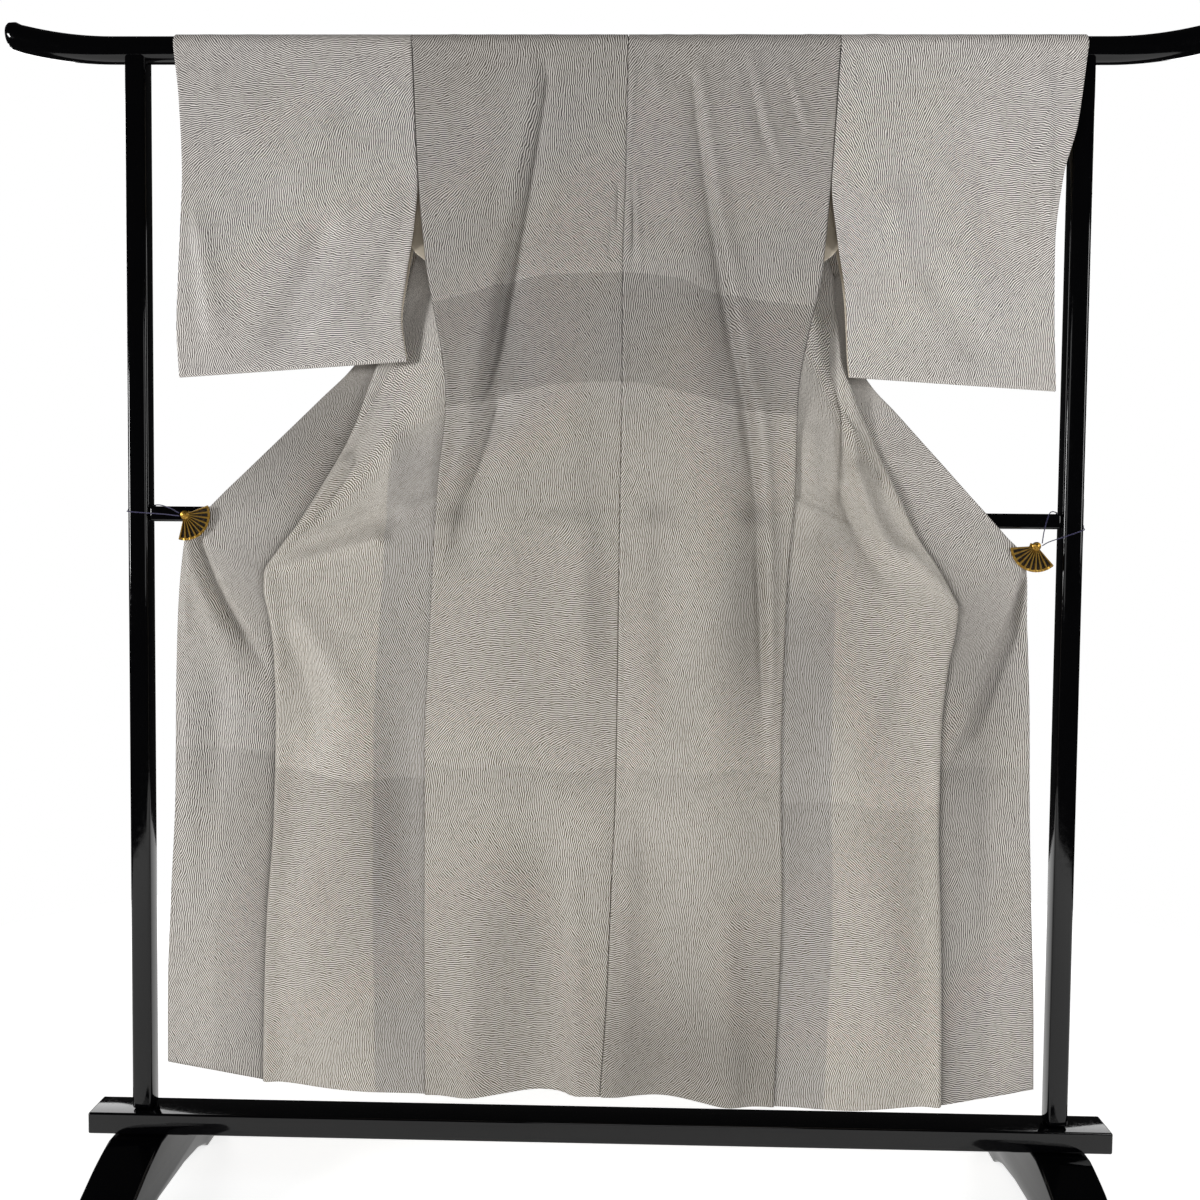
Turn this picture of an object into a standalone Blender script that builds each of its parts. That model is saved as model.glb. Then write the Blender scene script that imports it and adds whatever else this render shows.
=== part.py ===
"""Silk kimono hung back-outwards on a lacquered kimono stand, its fronts opened out like wings.

Metres, +Z up. The origin is on the floor under the middle of the stand, +X runs along the top rail,
and the kimono's back faces -Y. "left" is the -X side, which is the wearer's left too.
"""
import bisect
import math
from collections import namedtuple

import bmesh
import bpy
from mathutils import Vector

# ---------------------------------------------------------------- driving dimensions
GAP = 0.0004                  # air between pieces that touch

RAIL_Z = 1.703                # middle of the top rail
RAIL_R = 0.019
RAIL_HALF = 0.868             # middle to tip
RAIL_BEND = 0.715             # where each end begins to turn up
RAIL_RISE = 0.021             # how far the tips stand above the straight part
POST_X = 0.680                # middle of the stand to the middle of a post
POST_WIDE = 0.030
POST_DEEP = 0.030
MID_RAIL_Z = 1.032
MID_RAIL_SIDE = 0.022
STRETCHER_TOP = 0.141
STRETCHER_TALL = 0.032
STRETCHER_DEEP = 0.056
STRETCHER_HALF = 0.756
FOOT_WIDE = 0.080
FOOT_HALF = 0.215             # middle of a foot to its toe
FOOT_PAD = 0.060              # length of the sole under each toe
FOOT_ARCH = 0.026             # height of the arch between the soles

SEAM = 0.0008                 # between the middles of two cloth edges that are sewn side by side
CLOTH = 0.0015                # wall of every cloth solid
LAP = CLOTH + GAP             # one layer lying on the next, middle to middle
SEAM_LAP = LAP + 0.0008       # the same at the side seams, where the facets of the two panels differ
SEAM_INSET = 0.003            # how far the front's edge reaches behind the back's at the side seam
DRAPE_R = RAIL_R + GAP + 0.00125   # middle of the cloth where it bends over the rail
UNDERARM = 1.396              # height where the side seams begin
SHOULDER = 1.700              # height of the shoulder line, on the far side of the rail
NECK_HALF = 0.090             # centre seam to the neck point
NECK_ANGLE = 62.0             # where the neck's edge lies on the bend over the rail, 90 being its top
CUFF_END = 1.500              # the cuff is open above this height and sewn shut below
SLEEVE_FOLD_R = 0.0035        # bend at the bottom of a sleeve
SLEEVE_BOTTOM_Y = -0.012
COLLAR_WIDE = 0.055
KENSAKI = 1.455               # side-edge height of the row where the overlap panel comes to its point
COLLAR_TIP = 0.975            # side-edge height of the row where the collar ends

FAN_R = 0.037                 # fan clips: pivot to the outer edge
FAN_INNER_R = 0.0068
FAN_RIBS = 9
FAN_WALL = 0.0012
FAN_PLEAT = 0.0006            # how far each rib stands proud of the plate's middle
FAN_Y = -0.0368
HUB_R = 0.0062
HUB_FRONT = -0.0415
JAW_Y = -0.0245
JAW_SIZE = (0.030, 0.0016, 0.012)
CORD_R = 0.00075
CORD_POINTS = 48

# ---------------------------------------------------------------- tables
# The back: x and y of the centre seam and of the two side seams at each height.
Back = namedtuple("Back", "z centre left right y_centre y_left y_right")
BACK = [
    Back(0.188, 0.006, -0.250, 0.257, -0.044, -0.0475, -0.065),
    Back(0.320, 0.014, -0.252, 0.262, -0.038, -0.0400, -0.054),
    Back(0.470, 0.019, -0.254, 0.267, -0.034, -0.0340, -0.044),
    Back(0.680, 0.025, -0.254, 0.263, -0.031, -0.0310, -0.036),
    Back(0.930, 0.026, -0.245, 0.268, -0.029, -0.0300, -0.032),
    Back(1.080, 0.027, -0.237, 0.278, -0.028, -0.0290, -0.030),
    Back(1.200, 0.028, -0.226, 0.280, -0.026, -0.0270, -0.028),
    Back(1.396, 0.027, -0.256, 0.313, -0.023, -0.0225, -0.0225),
    Back(1.520, 0.030, -0.268, 0.323, -0.0215, -0.0212, -0.0212),
    Back(1.703, 0.032, -0.277, 0.333, -DRAPE_R, -DRAPE_R, -DRAPE_R),
]

# Soft vertical folds of the back: a line from top to bottom, its half width and how far it leans to +Y.
Fold = namedtuple("Fold", "x_top z_top x_low z_low wide deep")
BACK_FOLDS = [
    Fold(-0.110, 1.640, -0.180, 1.180, 0.040, 0.008),
    Fold(0.140, 1.640, 0.210, 1.180, 0.040, 0.008),
    Fold(-0.160, 1.220, -0.200, 0.950, 0.026, 0.010),
    Fold(-0.060, 1.300, -0.020, 0.750, 0.030, -0.010),
    Fold(0.060, 1.150, 0.080, 0.700, 0.035, 0.010),
    Fold(0.190, 1.150, 0.230, 0.700, 0.028, 0.012),
    Fold(-0.070, 0.650, -0.085, 0.150, 0.060, 0.030),
    Fold(0.090, 0.650, 0.095, 0.150, 0.055, 0.024),
]

# The opened fronts, one row for each height of the side edge: how far the cloth first tucks inwards
# behind the back, where the overlap seam lies, where the outer edge lies, and how far the middle
# of the front bellies out to -Y.
Wing = namedtuple("Wing", "z tuck seam_x seam_y seam_z edge_x edge_y edge_z belly")
WING_LEFT = [
    Wing(0.188, 0.000, -0.493, -0.030, 0.197, -0.645, -0.002, 0.210, 0.010),
    Wing(0.320, 0.000, -0.489, -0.035, 0.325, -0.641, -0.010, 0.340, 0.016),
    Wing(0.450, 0.000, -0.484, -0.037, 0.447, -0.6335, -0.016, 0.464, 0.022),
    Wing(0.600, 0.000, -0.4735, -0.037, 0.592, -0.6235, -0.022, 0.622, 0.026),
    Wing(0.750, 0.000, -0.4705, -0.036, 0.733, -0.6195, -0.027, 0.782, 0.022),
    Wing(0.870, 0.000, -0.474, -0.035, 0.838, -0.614, -0.031, 0.902, 0.010),
    Wing(0.930, 0.000, -0.481, -0.034, 0.885, -0.608, -0.032, 0.965, 0.004),
    Wing(0.975, 0.000, -0.489, -0.033, 0.925, -0.600, -0.032, 1.012, 0.000),
    Wing(1.010, 0.000, -0.489, -0.031, 0.9465, -0.578, -0.030, 1.032, 0.000),
    Wing(1.050, 0.000, -0.468, -0.028, 0.982, -0.5485, -0.026, 1.063, 0.000),
    Wing(1.090, 0.018, -0.4416, -0.024, 1.018, -0.519, -0.022, 1.0925, 0.000),
    Wing(1.190, 0.036, -0.3866, -0.011, 1.111, -0.446, -0.007, 1.168, 0.000),
    Wing(1.290, 0.066, -0.3316, 0.008, 1.205, -0.373, 0.011, 1.245, 0.000),
    Wing(1.345, 0.080, -0.3060, 0.018, 1.275, -0.3340, 0.020, 1.303, 0.000),
    Wing(1.396, 0.0925, -0.292, 0.026, 1.350, -0.315, 0.027, 1.370, 0.000),
    Wing(1.425, 0.108, -0.286, 0.031, 1.392, -0.304, 0.032, 1.405, 0.000),
    Wing(1.455, 0.115, -0.272, 0.038, 1.432, -0.286, 0.038, 1.440, 0.000),
    Wing(1.520, 0.105, -0.190, 0.056, 1.506, -0.190, 0.056, 1.506, 0.000),
    Wing(1.580, 0.095, -0.108, 0.043, 1.583, -0.108, 0.043, 1.583, 0.000),
    Wing(1.650, 0.103, -0.080, 0.029, 1.650, -0.080, 0.029, 1.650, 0.000),
    Wing(1.700, 0.108, -0.058, DRAPE_R, 1.700, -0.058, DRAPE_R, 1.700, 0.000),
]
WING_RIGHT = [
    Wing(0.188, 0.000, 0.500, -0.0475, 0.186, 0.645, -0.009, 0.196, 0.014),
    Wing(0.320, 0.000, 0.498, -0.046, 0.318, 0.640, -0.014, 0.326, 0.020),
    Wing(0.450, 0.000, 0.495, -0.043, 0.447, 0.632, -0.020, 0.456, 0.024),
    Wing(0.600, 0.000, 0.490, -0.040, 0.592, 0.624, -0.025, 0.610, 0.026),
    Wing(0.750, 0.000, 0.491, -0.037, 0.722, 0.618, -0.030, 0.768, 0.022),
    Wing(0.870, 0.000, 0.500, -0.035, 0.822, 0.611, -0.033, 0.895, 0.010),
    Wing(0.930, 0.000, 0.510, -0.034, 0.875, 0.610, -0.034, 0.945, 0.004),
    Wing(0.975, 0.000, 0.513, -0.033, 0.905, 0.600, -0.034, 0.985, 0.000),
    Wing(1.010, 0.000, 0.503, -0.031, 0.928, 0.580, -0.030, 1.0085, 0.000),
    Wing(1.050, 0.000, 0.482, -0.028, 0.966, 0.553, -0.026, 1.040, 0.000),
    Wing(1.090, 0.024, 0.457, -0.024, 1.003, 0.5255, -0.022, 1.071, 0.000),
    Wing(1.190, 0.049, 0.400, -0.011, 1.095, 0.458, -0.007, 1.1495, 0.000),
    Wing(1.290, 0.072, 0.349, 0.008, 1.190, 0.3905, 0.011, 1.228, 0.000),
    Wing(1.345, 0.086, 0.3290, 0.018, 1.262, 0.3590, 0.020, 1.289, 0.000),
    Wing(1.396, 0.100, 0.332, 0.026, 1.335, 0.356, 0.027, 1.356, 0.000),
    Wing(1.425, 0.112, 0.336, 0.031, 1.380, 0.352, 0.032, 1.394, 0.000),
    Wing(1.455, 0.118, 0.326, 0.038, 1.424, 0.340, 0.038, 1.432, 0.000),
    Wing(1.520, 0.108, 0.232, 0.056, 1.506, 0.232, 0.056, 1.506, 0.000),
    Wing(1.580, 0.096, 0.166, 0.043, 1.583, 0.166, 0.043, 1.583, 0.000),
    Wing(1.650, 0.102, 0.142, 0.029, 1.650, 0.142, 0.029, 1.650, 0.000),
    Wing(1.700, 0.1055, 0.122, DRAPE_R, 1.700, 0.122, DRAPE_R, 1.700, 0.000),
]

# Front edge of each armhole above the underarm: its depth at each height.
Armhole = namedtuple("Armhole", "z y")
ARMHOLE = [
    Armhole(UNDERARM, -0.0225 + SEAM_LAP),
    Armhole(1.455, 0.0035),
    Armhole(1.580, 0.0122),
    Armhole(1.700, DRAPE_R),
]

# The sleeves: how far the body edge stands out from the body's own seam line, and x of the cuff edge,
# at each height. Below them, the height of the bottom fold at the body edge and at the cuff.
Sleeve = namedtuple("Sleeve", "z free cuff")
SLEEVE_LEFT = [
    Sleeve(1.234, 0.054, -0.617),
    Sleeve(1.297, 0.053, -0.620),
    Sleeve(1.384, 0.029, -0.616),
    Sleeve(1.450, 0.011, -0.612),
    Sleeve(1.520, SEAM, -0.609),
    Sleeve(1.625, SEAM, -0.613),
    Sleeve(1.703, SEAM, -0.621),
]
SLEEVE_RIGHT = [
    Sleeve(1.222, 0.075, 0.649),
    Sleeve(1.338, 0.044, 0.643),
    Sleeve(1.428, 0.017, 0.641),
    Sleeve(1.520, SEAM, 0.650),
    Sleeve(1.592, SEAM, 0.668),
    Sleeve(1.703, SEAM, 0.681),
]
SLEEVE_BOTTOM = {"left": (1.259, 1.234), "right": (1.240, 1.222)}

# The fan clips: the pivot's place, and the way that the fan opens in the plane of the cloth.
Clip = namedtuple("Clip", "x z middle_deg spread_deg")
CLIPS = {"left": Clip(-0.602, 1.030, -41, 122), "right": Clip(0.620, 0.996, -112, 124)}

# Each cord leaves its clip, crosses over the middle rail, goes round the post and comes back.
CORDS = {
    "left": [(-0.6092, -0.0400, 1.0325), (-0.6250, -0.0280, 1.0390), (-0.6460, -0.0130, 1.0444),
             (-0.6616, 0.0020, 1.0446), (-0.6632, 0.0110, 1.0442), (-0.6690, 0.0166, 1.0436),
             (-0.6800, 0.0170, 1.0422), (-0.6910, 0.0166, 1.0408), (-0.6964, 0.0110, 1.0396),
             (-0.6966, 0.0000, 1.0374), (-0.6964, -0.0110, 1.0352), (-0.6910, -0.0168, 1.0344),
             (-0.6640, -0.0184, 1.0326), (-0.6350, -0.0290, 1.0308), (-0.6094, -0.0385, 1.0284)],
    "right": [(0.6268, -0.0400, 1.0005), (0.6340, -0.0270, 1.0200), (0.6460, -0.0130, 1.0446),
              (0.6616, 0.0020, 1.0448), (0.6632, 0.0110, 1.0438), (0.6690, 0.0166, 1.0420),
              (0.6800, 0.0170, 1.0366), (0.6910, 0.0166, 1.0314), (0.6964, 0.0110, 1.0286),
              (0.6966, 0.0000, 1.0250), (0.6964, -0.0110, 1.0214), (0.6910, -0.0168, 1.0190),
              (0.6640, -0.0184, 1.0095), (0.6400, -0.0300, 1.0025), (0.6278, -0.0385, 0.9970)],
}

# Grid rows. Heights are listed once, so that neighbouring panels share the same rows at their seams.
LOW_ROWS = [0.188, 0.320, 0.450, 0.600, 0.750, 0.870, 0.930, 0.975, 1.010, 1.050, 1.090, 1.140, 1.190,
            1.240, 1.290, 1.345, 1.396]
HIGH_ROWS = [1.425, 1.455, 1.520, 1.580, 1.650]
BEND_ANGLES = [180, 155, 130, 105, 80, NECK_ANGLE, 40, 15]
BODY_CELLS = 12
OVERLAP_CELLS = 4
SLEEVE_CELLS = 7
SLEEVE_HEIGHTS = [0.0, 0.08, 0.2, 0.34, 0.48, 0.62, 0.78, 1.0]
SLEEVE_ANGLES = [150, 120, 90, 60, 30]
COLLAR_CELLS = 4


# ---------------------------------------------------------------- curves through the tables
def smooth(rows, column, z):
    """A column's value at height z, on a smooth curve through the rows that never overshoots."""
    keys = [row.z for row in rows]
    values = [getattr(row, column) for row in rows]
    if z <= keys[0]:
        return values[0]
    if z >= keys[-1]:
        return values[-1]
    i = bisect.bisect_right(keys, z) - 1

    def rate(k):
        return (values[k + 1] - values[k]) / (keys[k + 1] - keys[k])

    def slope(k):
        if k == 0 or k == len(keys) - 1:
            return rate(min(k, len(keys) - 2))
        before, after = rate(k - 1), rate(k)
        return 0.0 if before * after <= 0 else 2 * before * after / (before + after)

    span = keys[i + 1] - keys[i]
    t = (z - keys[i]) / span
    return (values[i] * (1 + 2 * t) * (1 - t) ** 2 + span * slope(i) * t * (1 - t) ** 2
            + values[i + 1] * t * t * (3 - 2 * t) + span * slope(i + 1) * t * t * (t - 1))


def ease(t):
    """0 to 1 with a soft start and stop."""
    t = min(1.0, max(0.0, t))
    return t * t * (3 - 2 * t)


def mix(a, b, t):
    return a + (b - a) * t


def lean(folds, x, z):
    """How far the folds push the cloth to +Y at a place."""
    total = 0.0
    for f in folds:
        t = (f.z_top - z) / (f.z_top - f.z_low)
        off = (x - mix(f.x_top, f.x_low, t)) / f.wide
        total += f.deep * math.exp(-off * off) * ease(t * 4) * ease((1 - t) * 4 if f.z_low > 0.2 else 1)
    return total


# ---------------------------------------------------------------- where each panel's cloth lies
def outward(side):
    return -1 if side == "left" else 1


def back_depth(side, x, z):
    """y of the back's cloth at a place, with its folds, which die out at the seams."""
    centre, edge = smooth(BACK, "centre", z), smooth(BACK, side, z)
    u = min(1.0, max(0.0, (x - centre) / (edge - centre)))
    flat = mix(smooth(BACK, "y_centre", z), smooth(BACK, "y_" + side, z), u)
    return flat + ease(u * 5) * ease((1 - u) * 5) * lean(BACK_FOLDS, x, z)


def back_point(side, u, z):
    """The back at height z, u running from the centre seam (0) to the side (1)."""
    x = mix(smooth(BACK, "centre", z) + outward(side) * GAP, smooth(BACK, side, z), u)
    return Vector((x, back_depth(side, x, z), z))


def bend_point(side, u, angle):
    """The body over the rail: 180 is its -Y side, 90 the top, 0 the +Y side."""
    past_neck = max(0.0, 1 - max(0.0, angle) / NECK_ANGLE)
    inner = BACK[-1].centre + outward(side) * (GAP + NECK_HALF * math.sqrt(1 - (1 - past_neck) ** 2))
    x = mix(inner, getattr(BACK[-1], side), u)
    turn = math.radians(angle)
    return Vector((x, DRAPE_R * math.cos(turn), RAIL_Z + DRAPE_R * math.sin(turn)))


def side_edge(side, z):
    """The front's outer edge: the side seam below the underarm, the armhole's front edge above."""
    x = smooth(BACK, side, z)
    if z <= UNDERARM:
        return Vector((x - outward(side) * SEAM_INSET, smooth(BACK, "y_" + side, z) + SEAM_LAP, z))
    return Vector((x - outward(side) * SEAM_INSET * ease((1.455 - z) / 0.06), smooth(ARMHOLE, "y", z), z))


def wing_rows(side):
    return WING_LEFT if side == "left" else WING_RIGHT


def seam_point(side, z):
    rows = wing_rows(side)
    return Vector([smooth(rows, c, z) for c in ("seam_x", "seam_y", "seam_z")])


def edge_point(side, z):
    rows = wing_rows(side)
    return Vector([smooth(rows, c, z) for c in ("edge_x", "edge_y", "edge_z")])


def front_point(side, u, z):
    """The front on the row of side-edge height z, u from the overlap seam (0) to the side (1).

    From the side the cloth first runs inwards behind the back, turns on a soft fold and comes out again.
    The middle of the grid follows that fold.
    """
    side_at, seam_at = side_edge(side, z), seam_point(side, z)
    tuck = smooth(wing_rows(side), "tuck", z)
    fold_at = side_at - Vector((outward(side) * tuck, 0, 0))
    back_run = (seam_at - fold_at).length
    width = tuck + back_run
    middle = mix(width / 2, tuck, ease((z - 1.050) / 0.03))
    if u > 0.5:
        along = mix(0, middle, (1 - u) * 2)
    else:
        along = mix(middle, width, 1 - u * 2)
    past = ease((along - tuck) / 0.016 + 0.5) if tuck > 0.004 else 1.0
    if along < tuck:
        place = side_at.lerp(fold_at, along / tuck)
    else:
        place = fold_at.lerp(seam_at, (along - tuck) / back_run)
    base = back_depth(side, place.x, place.z) + SEAM_LAP if z <= UNDERARM else side_at.y
    first_layer = base + 0.003 * ease(along / 0.03)
    apart = 0.013 * ease(tuck / 0.012) * ease((SHOULDER - z) / 0.10)
    second_layer = mix(base + apart, seam_at.y, ease((along - tuck) / back_run))
    place.y = mix(first_layer, second_layer, past)
    place.y -= smooth(wing_rows(side), "belly", z) * math.sin(math.pi * u) ** 2
    return place


def overlap_point(side, u, z):
    """The overlap panel, u from the front's seam (0) to the outer edge (1), laid just behind the front."""
    start, end = seam_point(side, z), edge_point(side, z)
    place = start.lerp(end, u)
    place.x -= outward(side) * 0.002 * (1 - u)
    place.y += LAP * (1 - ease(u * 1.4))
    return place


def sleeve_point(side, across, part, t):
    """A sleeve, across from the body (0) to the cuff (1), round the loop: up the back, over, down the front."""
    rows = SLEEVE_LEFT if side == "left" else SLEEVE_RIGHT
    low = mix(*SLEEVE_BOTTOM[side], across)
    if part == "bend":
        z = RAIL_Z + DRAPE_R * math.sin(math.radians(t))
        y = DRAPE_R * math.cos(math.radians(t))
    elif part == "fold":
        z = low - SLEEVE_FOLD_R * math.sin(math.radians(t))
        y = SLEEVE_BOTTOM_Y - SLEEVE_FOLD_R * math.cos(math.radians(t))
    else:
        z = mix(low, RAIL_Z, t)
        back = mix(SLEEVE_BOTTOM_Y - SLEEVE_FOLD_R, -DRAPE_R, ease(t / 0.55))
        y = back
        if part == "front":
            body_y = mix(SLEEVE_BOTTOM_Y + SLEEVE_FOLD_R, smooth(ARMHOLE, "y", max(z, 1.455)), ease(t / 0.5))
            cuff_y = mix(SLEEVE_BOTTOM_Y + SLEEVE_FOLD_R, DRAPE_R, ease(t / 0.55))
            y = mix(body_y, cuff_y, across)
            sewn = ease((CUFF_END - z) / 0.05) * ease((across - 0.72) / 0.28)
            y = mix(y, back + 1.7 * CLOTH, sewn)
    at_body = smooth(BACK, side, z) + outward(side) * smooth(rows, "free", z)
    x = mix(at_body, smooth(rows, "cuff", z), across)
    return Vector((x, y, z))


def collar_point(side, q, row):
    """The collar strip behind the front edge, q across it from the sewn edge (0) to its fold (1).

    Rows run up the opened front by side-edge height, then round the neck by angle.
    """
    kind, value = row
    if kind == "edge":
        turn = ease((value - KENSAKI) / (SHOULDER - KENSAKI))
        start = edge_point(side, value)
        away = Vector((-outward(side) * mix(0.72, 0.35, turn), 0, -mix(0.694, 0.94, turn)))
        start.y += mix(2.2, 2.3, turn) * LAP
        return start + away * (q * COLLAR_WIDE + 0.001)
    blend = value / NECK_ANGLE
    radius = DRAPE_R + 2.3 * LAP
    neck = NECK_HALF * math.sqrt(max(0.0, 1 - blend ** 2))
    x = BACK[-1].centre + outward(side) * neck
    x -= outward(side) * 0.35 * q * COLLAR_WIDE * (neck / NECK_HALF)
    run = q * COLLAR_WIDE
    arc = radius * math.radians(value)
    if run < arc:
        turn = math.radians(value) - run / radius
        return Vector((x, radius * math.cos(turn), RAIL_Z + radius * math.sin(turn)))
    return Vector((x, radius, RAIL_Z - 0.003 * (1 - blend) - (run - arc)))


# ---------------------------------------------------------------- helpers
def make_material(name, color, roughness, metallic=0.0):
    material = bpy.data.materials.new(name)
    material.use_nodes = True
    shader = material.node_tree.nodes["Principled BSDF"]
    shader.inputs["Base Color"].default_value = (*color, 1)
    shader.inputs["Roughness"].default_value = roughness
    shader.inputs["Metallic"].default_value = metallic
    return material


def add_object(name, data, collection, material):
    obj = bpy.data.objects.new(name, data)
    collection.objects.link(obj)
    data.materials.append(material)
    return obj


def mesh_from(bm, name):
    mesh = bpy.data.meshes.new(name)
    bm.to_mesh(mesh)
    bm.free()
    return mesh


def cloth_grid(name, across, rows, place, collection, material, closed=False):
    """A grid of cloth: place(u, row) for each point, given its wall by Solidify."""
    bm = bmesh.new()
    count = len(rows) if closed else len(rows) - 1
    bmesh.ops.create_grid(bm, x_segments=across, y_segments=count, size=0.5)
    for vert in bm.verts:
        index = round((vert.co.y + 0.5) * count) % len(rows)
        vert.co = place(vert.co.x + 0.5, rows[index])
    if closed:
        bmesh.ops.remove_doubles(bm, verts=bm.verts, dist=0.00001)
    bmesh.ops.recalc_face_normals(bm, faces=bm.faces)
    obj = add_object(name, mesh_from(bm, name), collection, material)
    wall = obj.modifiers.new("wall", "SOLIDIFY")
    wall.thickness = CLOTH
    wall.offset = 0.0
    return obj


def add_box(name, size, center, collection, material, bevel=0.0, segments=2):
    bm = bmesh.new()
    bmesh.ops.create_cube(bm, size=1.0)
    bmesh.ops.scale(bm, vec=size, verts=bm.verts)
    obj = add_object(name, mesh_from(bm, name), collection, material)
    obj.location = center
    if bevel:
        edge = obj.modifiers.new("edge", "BEVEL")
        edge.width = bevel
        edge.segments = segments
    return obj


def solid_from_curve(obj):
    """Replace a curve by its closed mesh, so that it can be cut or joined."""
    bpy.context.view_layer.update()
    mesh = bpy.data.meshes.new_from_object(obj.evaluated_get(bpy.context.evaluated_depsgraph_get()))
    bm = bmesh.new()
    bm.from_mesh(mesh)
    bmesh.ops.remove_doubles(bm, verts=bm.verts, dist=0.00001)
    bm.to_mesh(mesh)
    bm.free()
    solid = bpy.data.objects.new(obj.name, mesh)
    solid.matrix_world = obj.matrix_world
    obj.users_collection[0].objects.link(solid)
    name = obj.name
    bpy.data.objects.remove(obj)
    solid.name = name
    return solid


def cut(obj, cutter):
    step = obj.modifiers.new("cut", "BOOLEAN")
    step.operation = "DIFFERENCE"
    step.solver = "EXACT"
    step.object = cutter
    cutter.hide_render = True
    cutter.display_type = "WIRE"


# ---------------------------------------------------------------- stand
def build_rail(parts, cutters, lacquer):
    """Round top rail whose ends turn up, notched from below where it sits on the posts."""
    curve = bpy.data.curves.new("top_rail", "CURVE")
    curve.dimensions = "3D"
    curve.bevel_depth = RAIL_R
    curve.bevel_resolution = 4
    curve.use_fill_caps = True
    reach = RAIL_HALF - RAIL_BEND
    end = [(RAIL_BEND + reach * t, RAIL_RISE * t * t, 1.0) for t in (0.0, 0.25, 0.5, 0.75)]
    end += [(RAIL_HALF - 0.008, RAIL_RISE, 0.98), (RAIL_HALF, RAIL_RISE * 1.02, 0.80)]
    stations = [(-x, z, r) for x, z, r in reversed(end)] + end
    spline = curve.splines.new("POLY")
    spline.points.add(len(stations) - 1)
    for point, (x, z, radius) in zip(spline.points, stations):
        point.co = (x, 0, RAIL_Z + z, 1)
        point.radius = radius
    rail = solid_from_curve(add_object("top_rail", curve, parts, lacquer))
    for side in (-1, 1):
        notch = add_box("notch_cutter", (POST_WIDE + 2 * GAP, 0.06, 0.04),
                        (side * POST_X, 0, RAIL_Z - 0.02), cutters, lacquer)
        cut(rail, notch)


def build_posts(parts, lacquer):
    tall = RAIL_Z - GAP - (STRETCHER_TOP + GAP)
    for name, side in (("post_left", -1), ("post_right", 1)):
        add_box(name, (POST_WIDE, POST_DEEP, tall),
                (side * POST_X, 0, STRETCHER_TOP + GAP + tall / 2), parts, lacquer, bevel=0.006)


def build_bars(parts, lacquer):
    inside = 2 * (POST_X - POST_WIDE / 2 - GAP)
    add_box("mid_rail", (inside, MID_RAIL_SIDE, MID_RAIL_SIDE), (0, 0, MID_RAIL_Z), parts, lacquer,
            bevel=0.004)
    add_box("stretcher", (2 * STRETCHER_HALF, STRETCHER_DEEP, STRETCHER_TALL),
            (0, 0, STRETCHER_TOP - STRETCHER_TALL / 2), parts, lacquer, bevel=0.003)


def build_feet(parts, lacquer):
    """Arched feet: an outline across the stand, with a sole under each toe."""
    top = STRETCHER_TOP - STRETCHER_TALL - GAP
    half = [(0.030, top), (0.085, top - 0.016), (0.140, top - 0.040), (0.185, top - 0.053),
            (FOOT_HALF - 0.010, top - 0.066), (FOOT_HALF, top - 0.080), (FOOT_HALF, 0.006),
            (FOOT_HALF - 0.006, 0.0), (FOOT_HALF - FOOT_PAD, 0.0), (FOOT_HALF - FOOT_PAD - 0.010, 0.008),
            (0.110, FOOT_ARCH * 0.75), (0.050, FOOT_ARCH)]
    outline = half + [(-y, z) for y, z in reversed(half)]
    for name, side in (("foot_left", -1), ("foot_right", 1)):
        curve = bpy.data.curves.new(name, "CURVE")
        curve.dimensions = "2D"
        curve.fill_mode = "BOTH"
        curve.extrude = FOOT_WIDE / 2
        spline = curve.splines.new("POLY")
        spline.points.add(len(outline) - 1)
        for point, (y, z) in zip(spline.points, outline):
            point.co = (y, z, 0, 1)
        spline.use_cyclic_u = True
        foot = add_object(name, curve, parts, lacquer)
        foot.rotation_euler = (math.pi / 2, 0, math.pi / 2)
        foot.location = (side * POST_X, 0, 0)
        foot = solid_from_curve(foot)
        bm = bmesh.new()
        bm.from_mesh(foot.data)
        bmesh.ops.dissolve_limit(bm, angle_limit=0.001, verts=bm.verts, edges=bm.edges)
        bm.to_mesh(foot.data)
        bm.free()
        edge = foot.modifiers.new("edge", "BEVEL")
        edge.width = 0.004
        edge.segments = 1
        edge.limit_method = "ANGLE"
        edge.angle_limit = math.radians(60)


# ---------------------------------------------------------------- kimono
def build_bodies(parts, silk):
    """Each body panel is one cloth from the back's hem, over the rail, to the front's hem."""
    rows = [("back", z) for z in LOW_ROWS + HIGH_ROWS]
    rows += [("bend", angle) for angle in BEND_ANGLES]
    rows += [("front", z) for z in reversed(LOW_ROWS + HIGH_ROWS + [SHOULDER])]
    for side in ("left", "right"):
        def place(u, row, side=side):
            kind, value = row
            make = {"back": back_point, "bend": bend_point, "front": front_point}[kind]
            return make(side, u, value)
        cloth_grid("body_" + side, BODY_CELLS, rows, place, parts, silk)


def build_overlaps(parts, silk):
    rows = LOW_ROWS + [1.430]
    for side in ("left", "right"):
        cloth_grid("okumi_" + side, OVERLAP_CELLS, rows,
                   lambda u, z, side=side: overlap_point(side, u, z), parts, silk)


def build_sleeves(parts, silk):
    rows = [("back", t) for t in SLEEVE_HEIGHTS]
    rows += [("bend", angle) for angle in SLEEVE_ANGLES]
    rows += [("front", t) for t in reversed(SLEEVE_HEIGHTS)]
    rows += [("fold", angle) for angle in (135, 90, 45)]
    for side in ("left", "right"):
        cloth_grid("sleeve_" + side, SLEEVE_CELLS, rows,
                   lambda u, row, side=side: sleeve_point(side, u, *row), parts, silk, closed=True)


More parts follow.
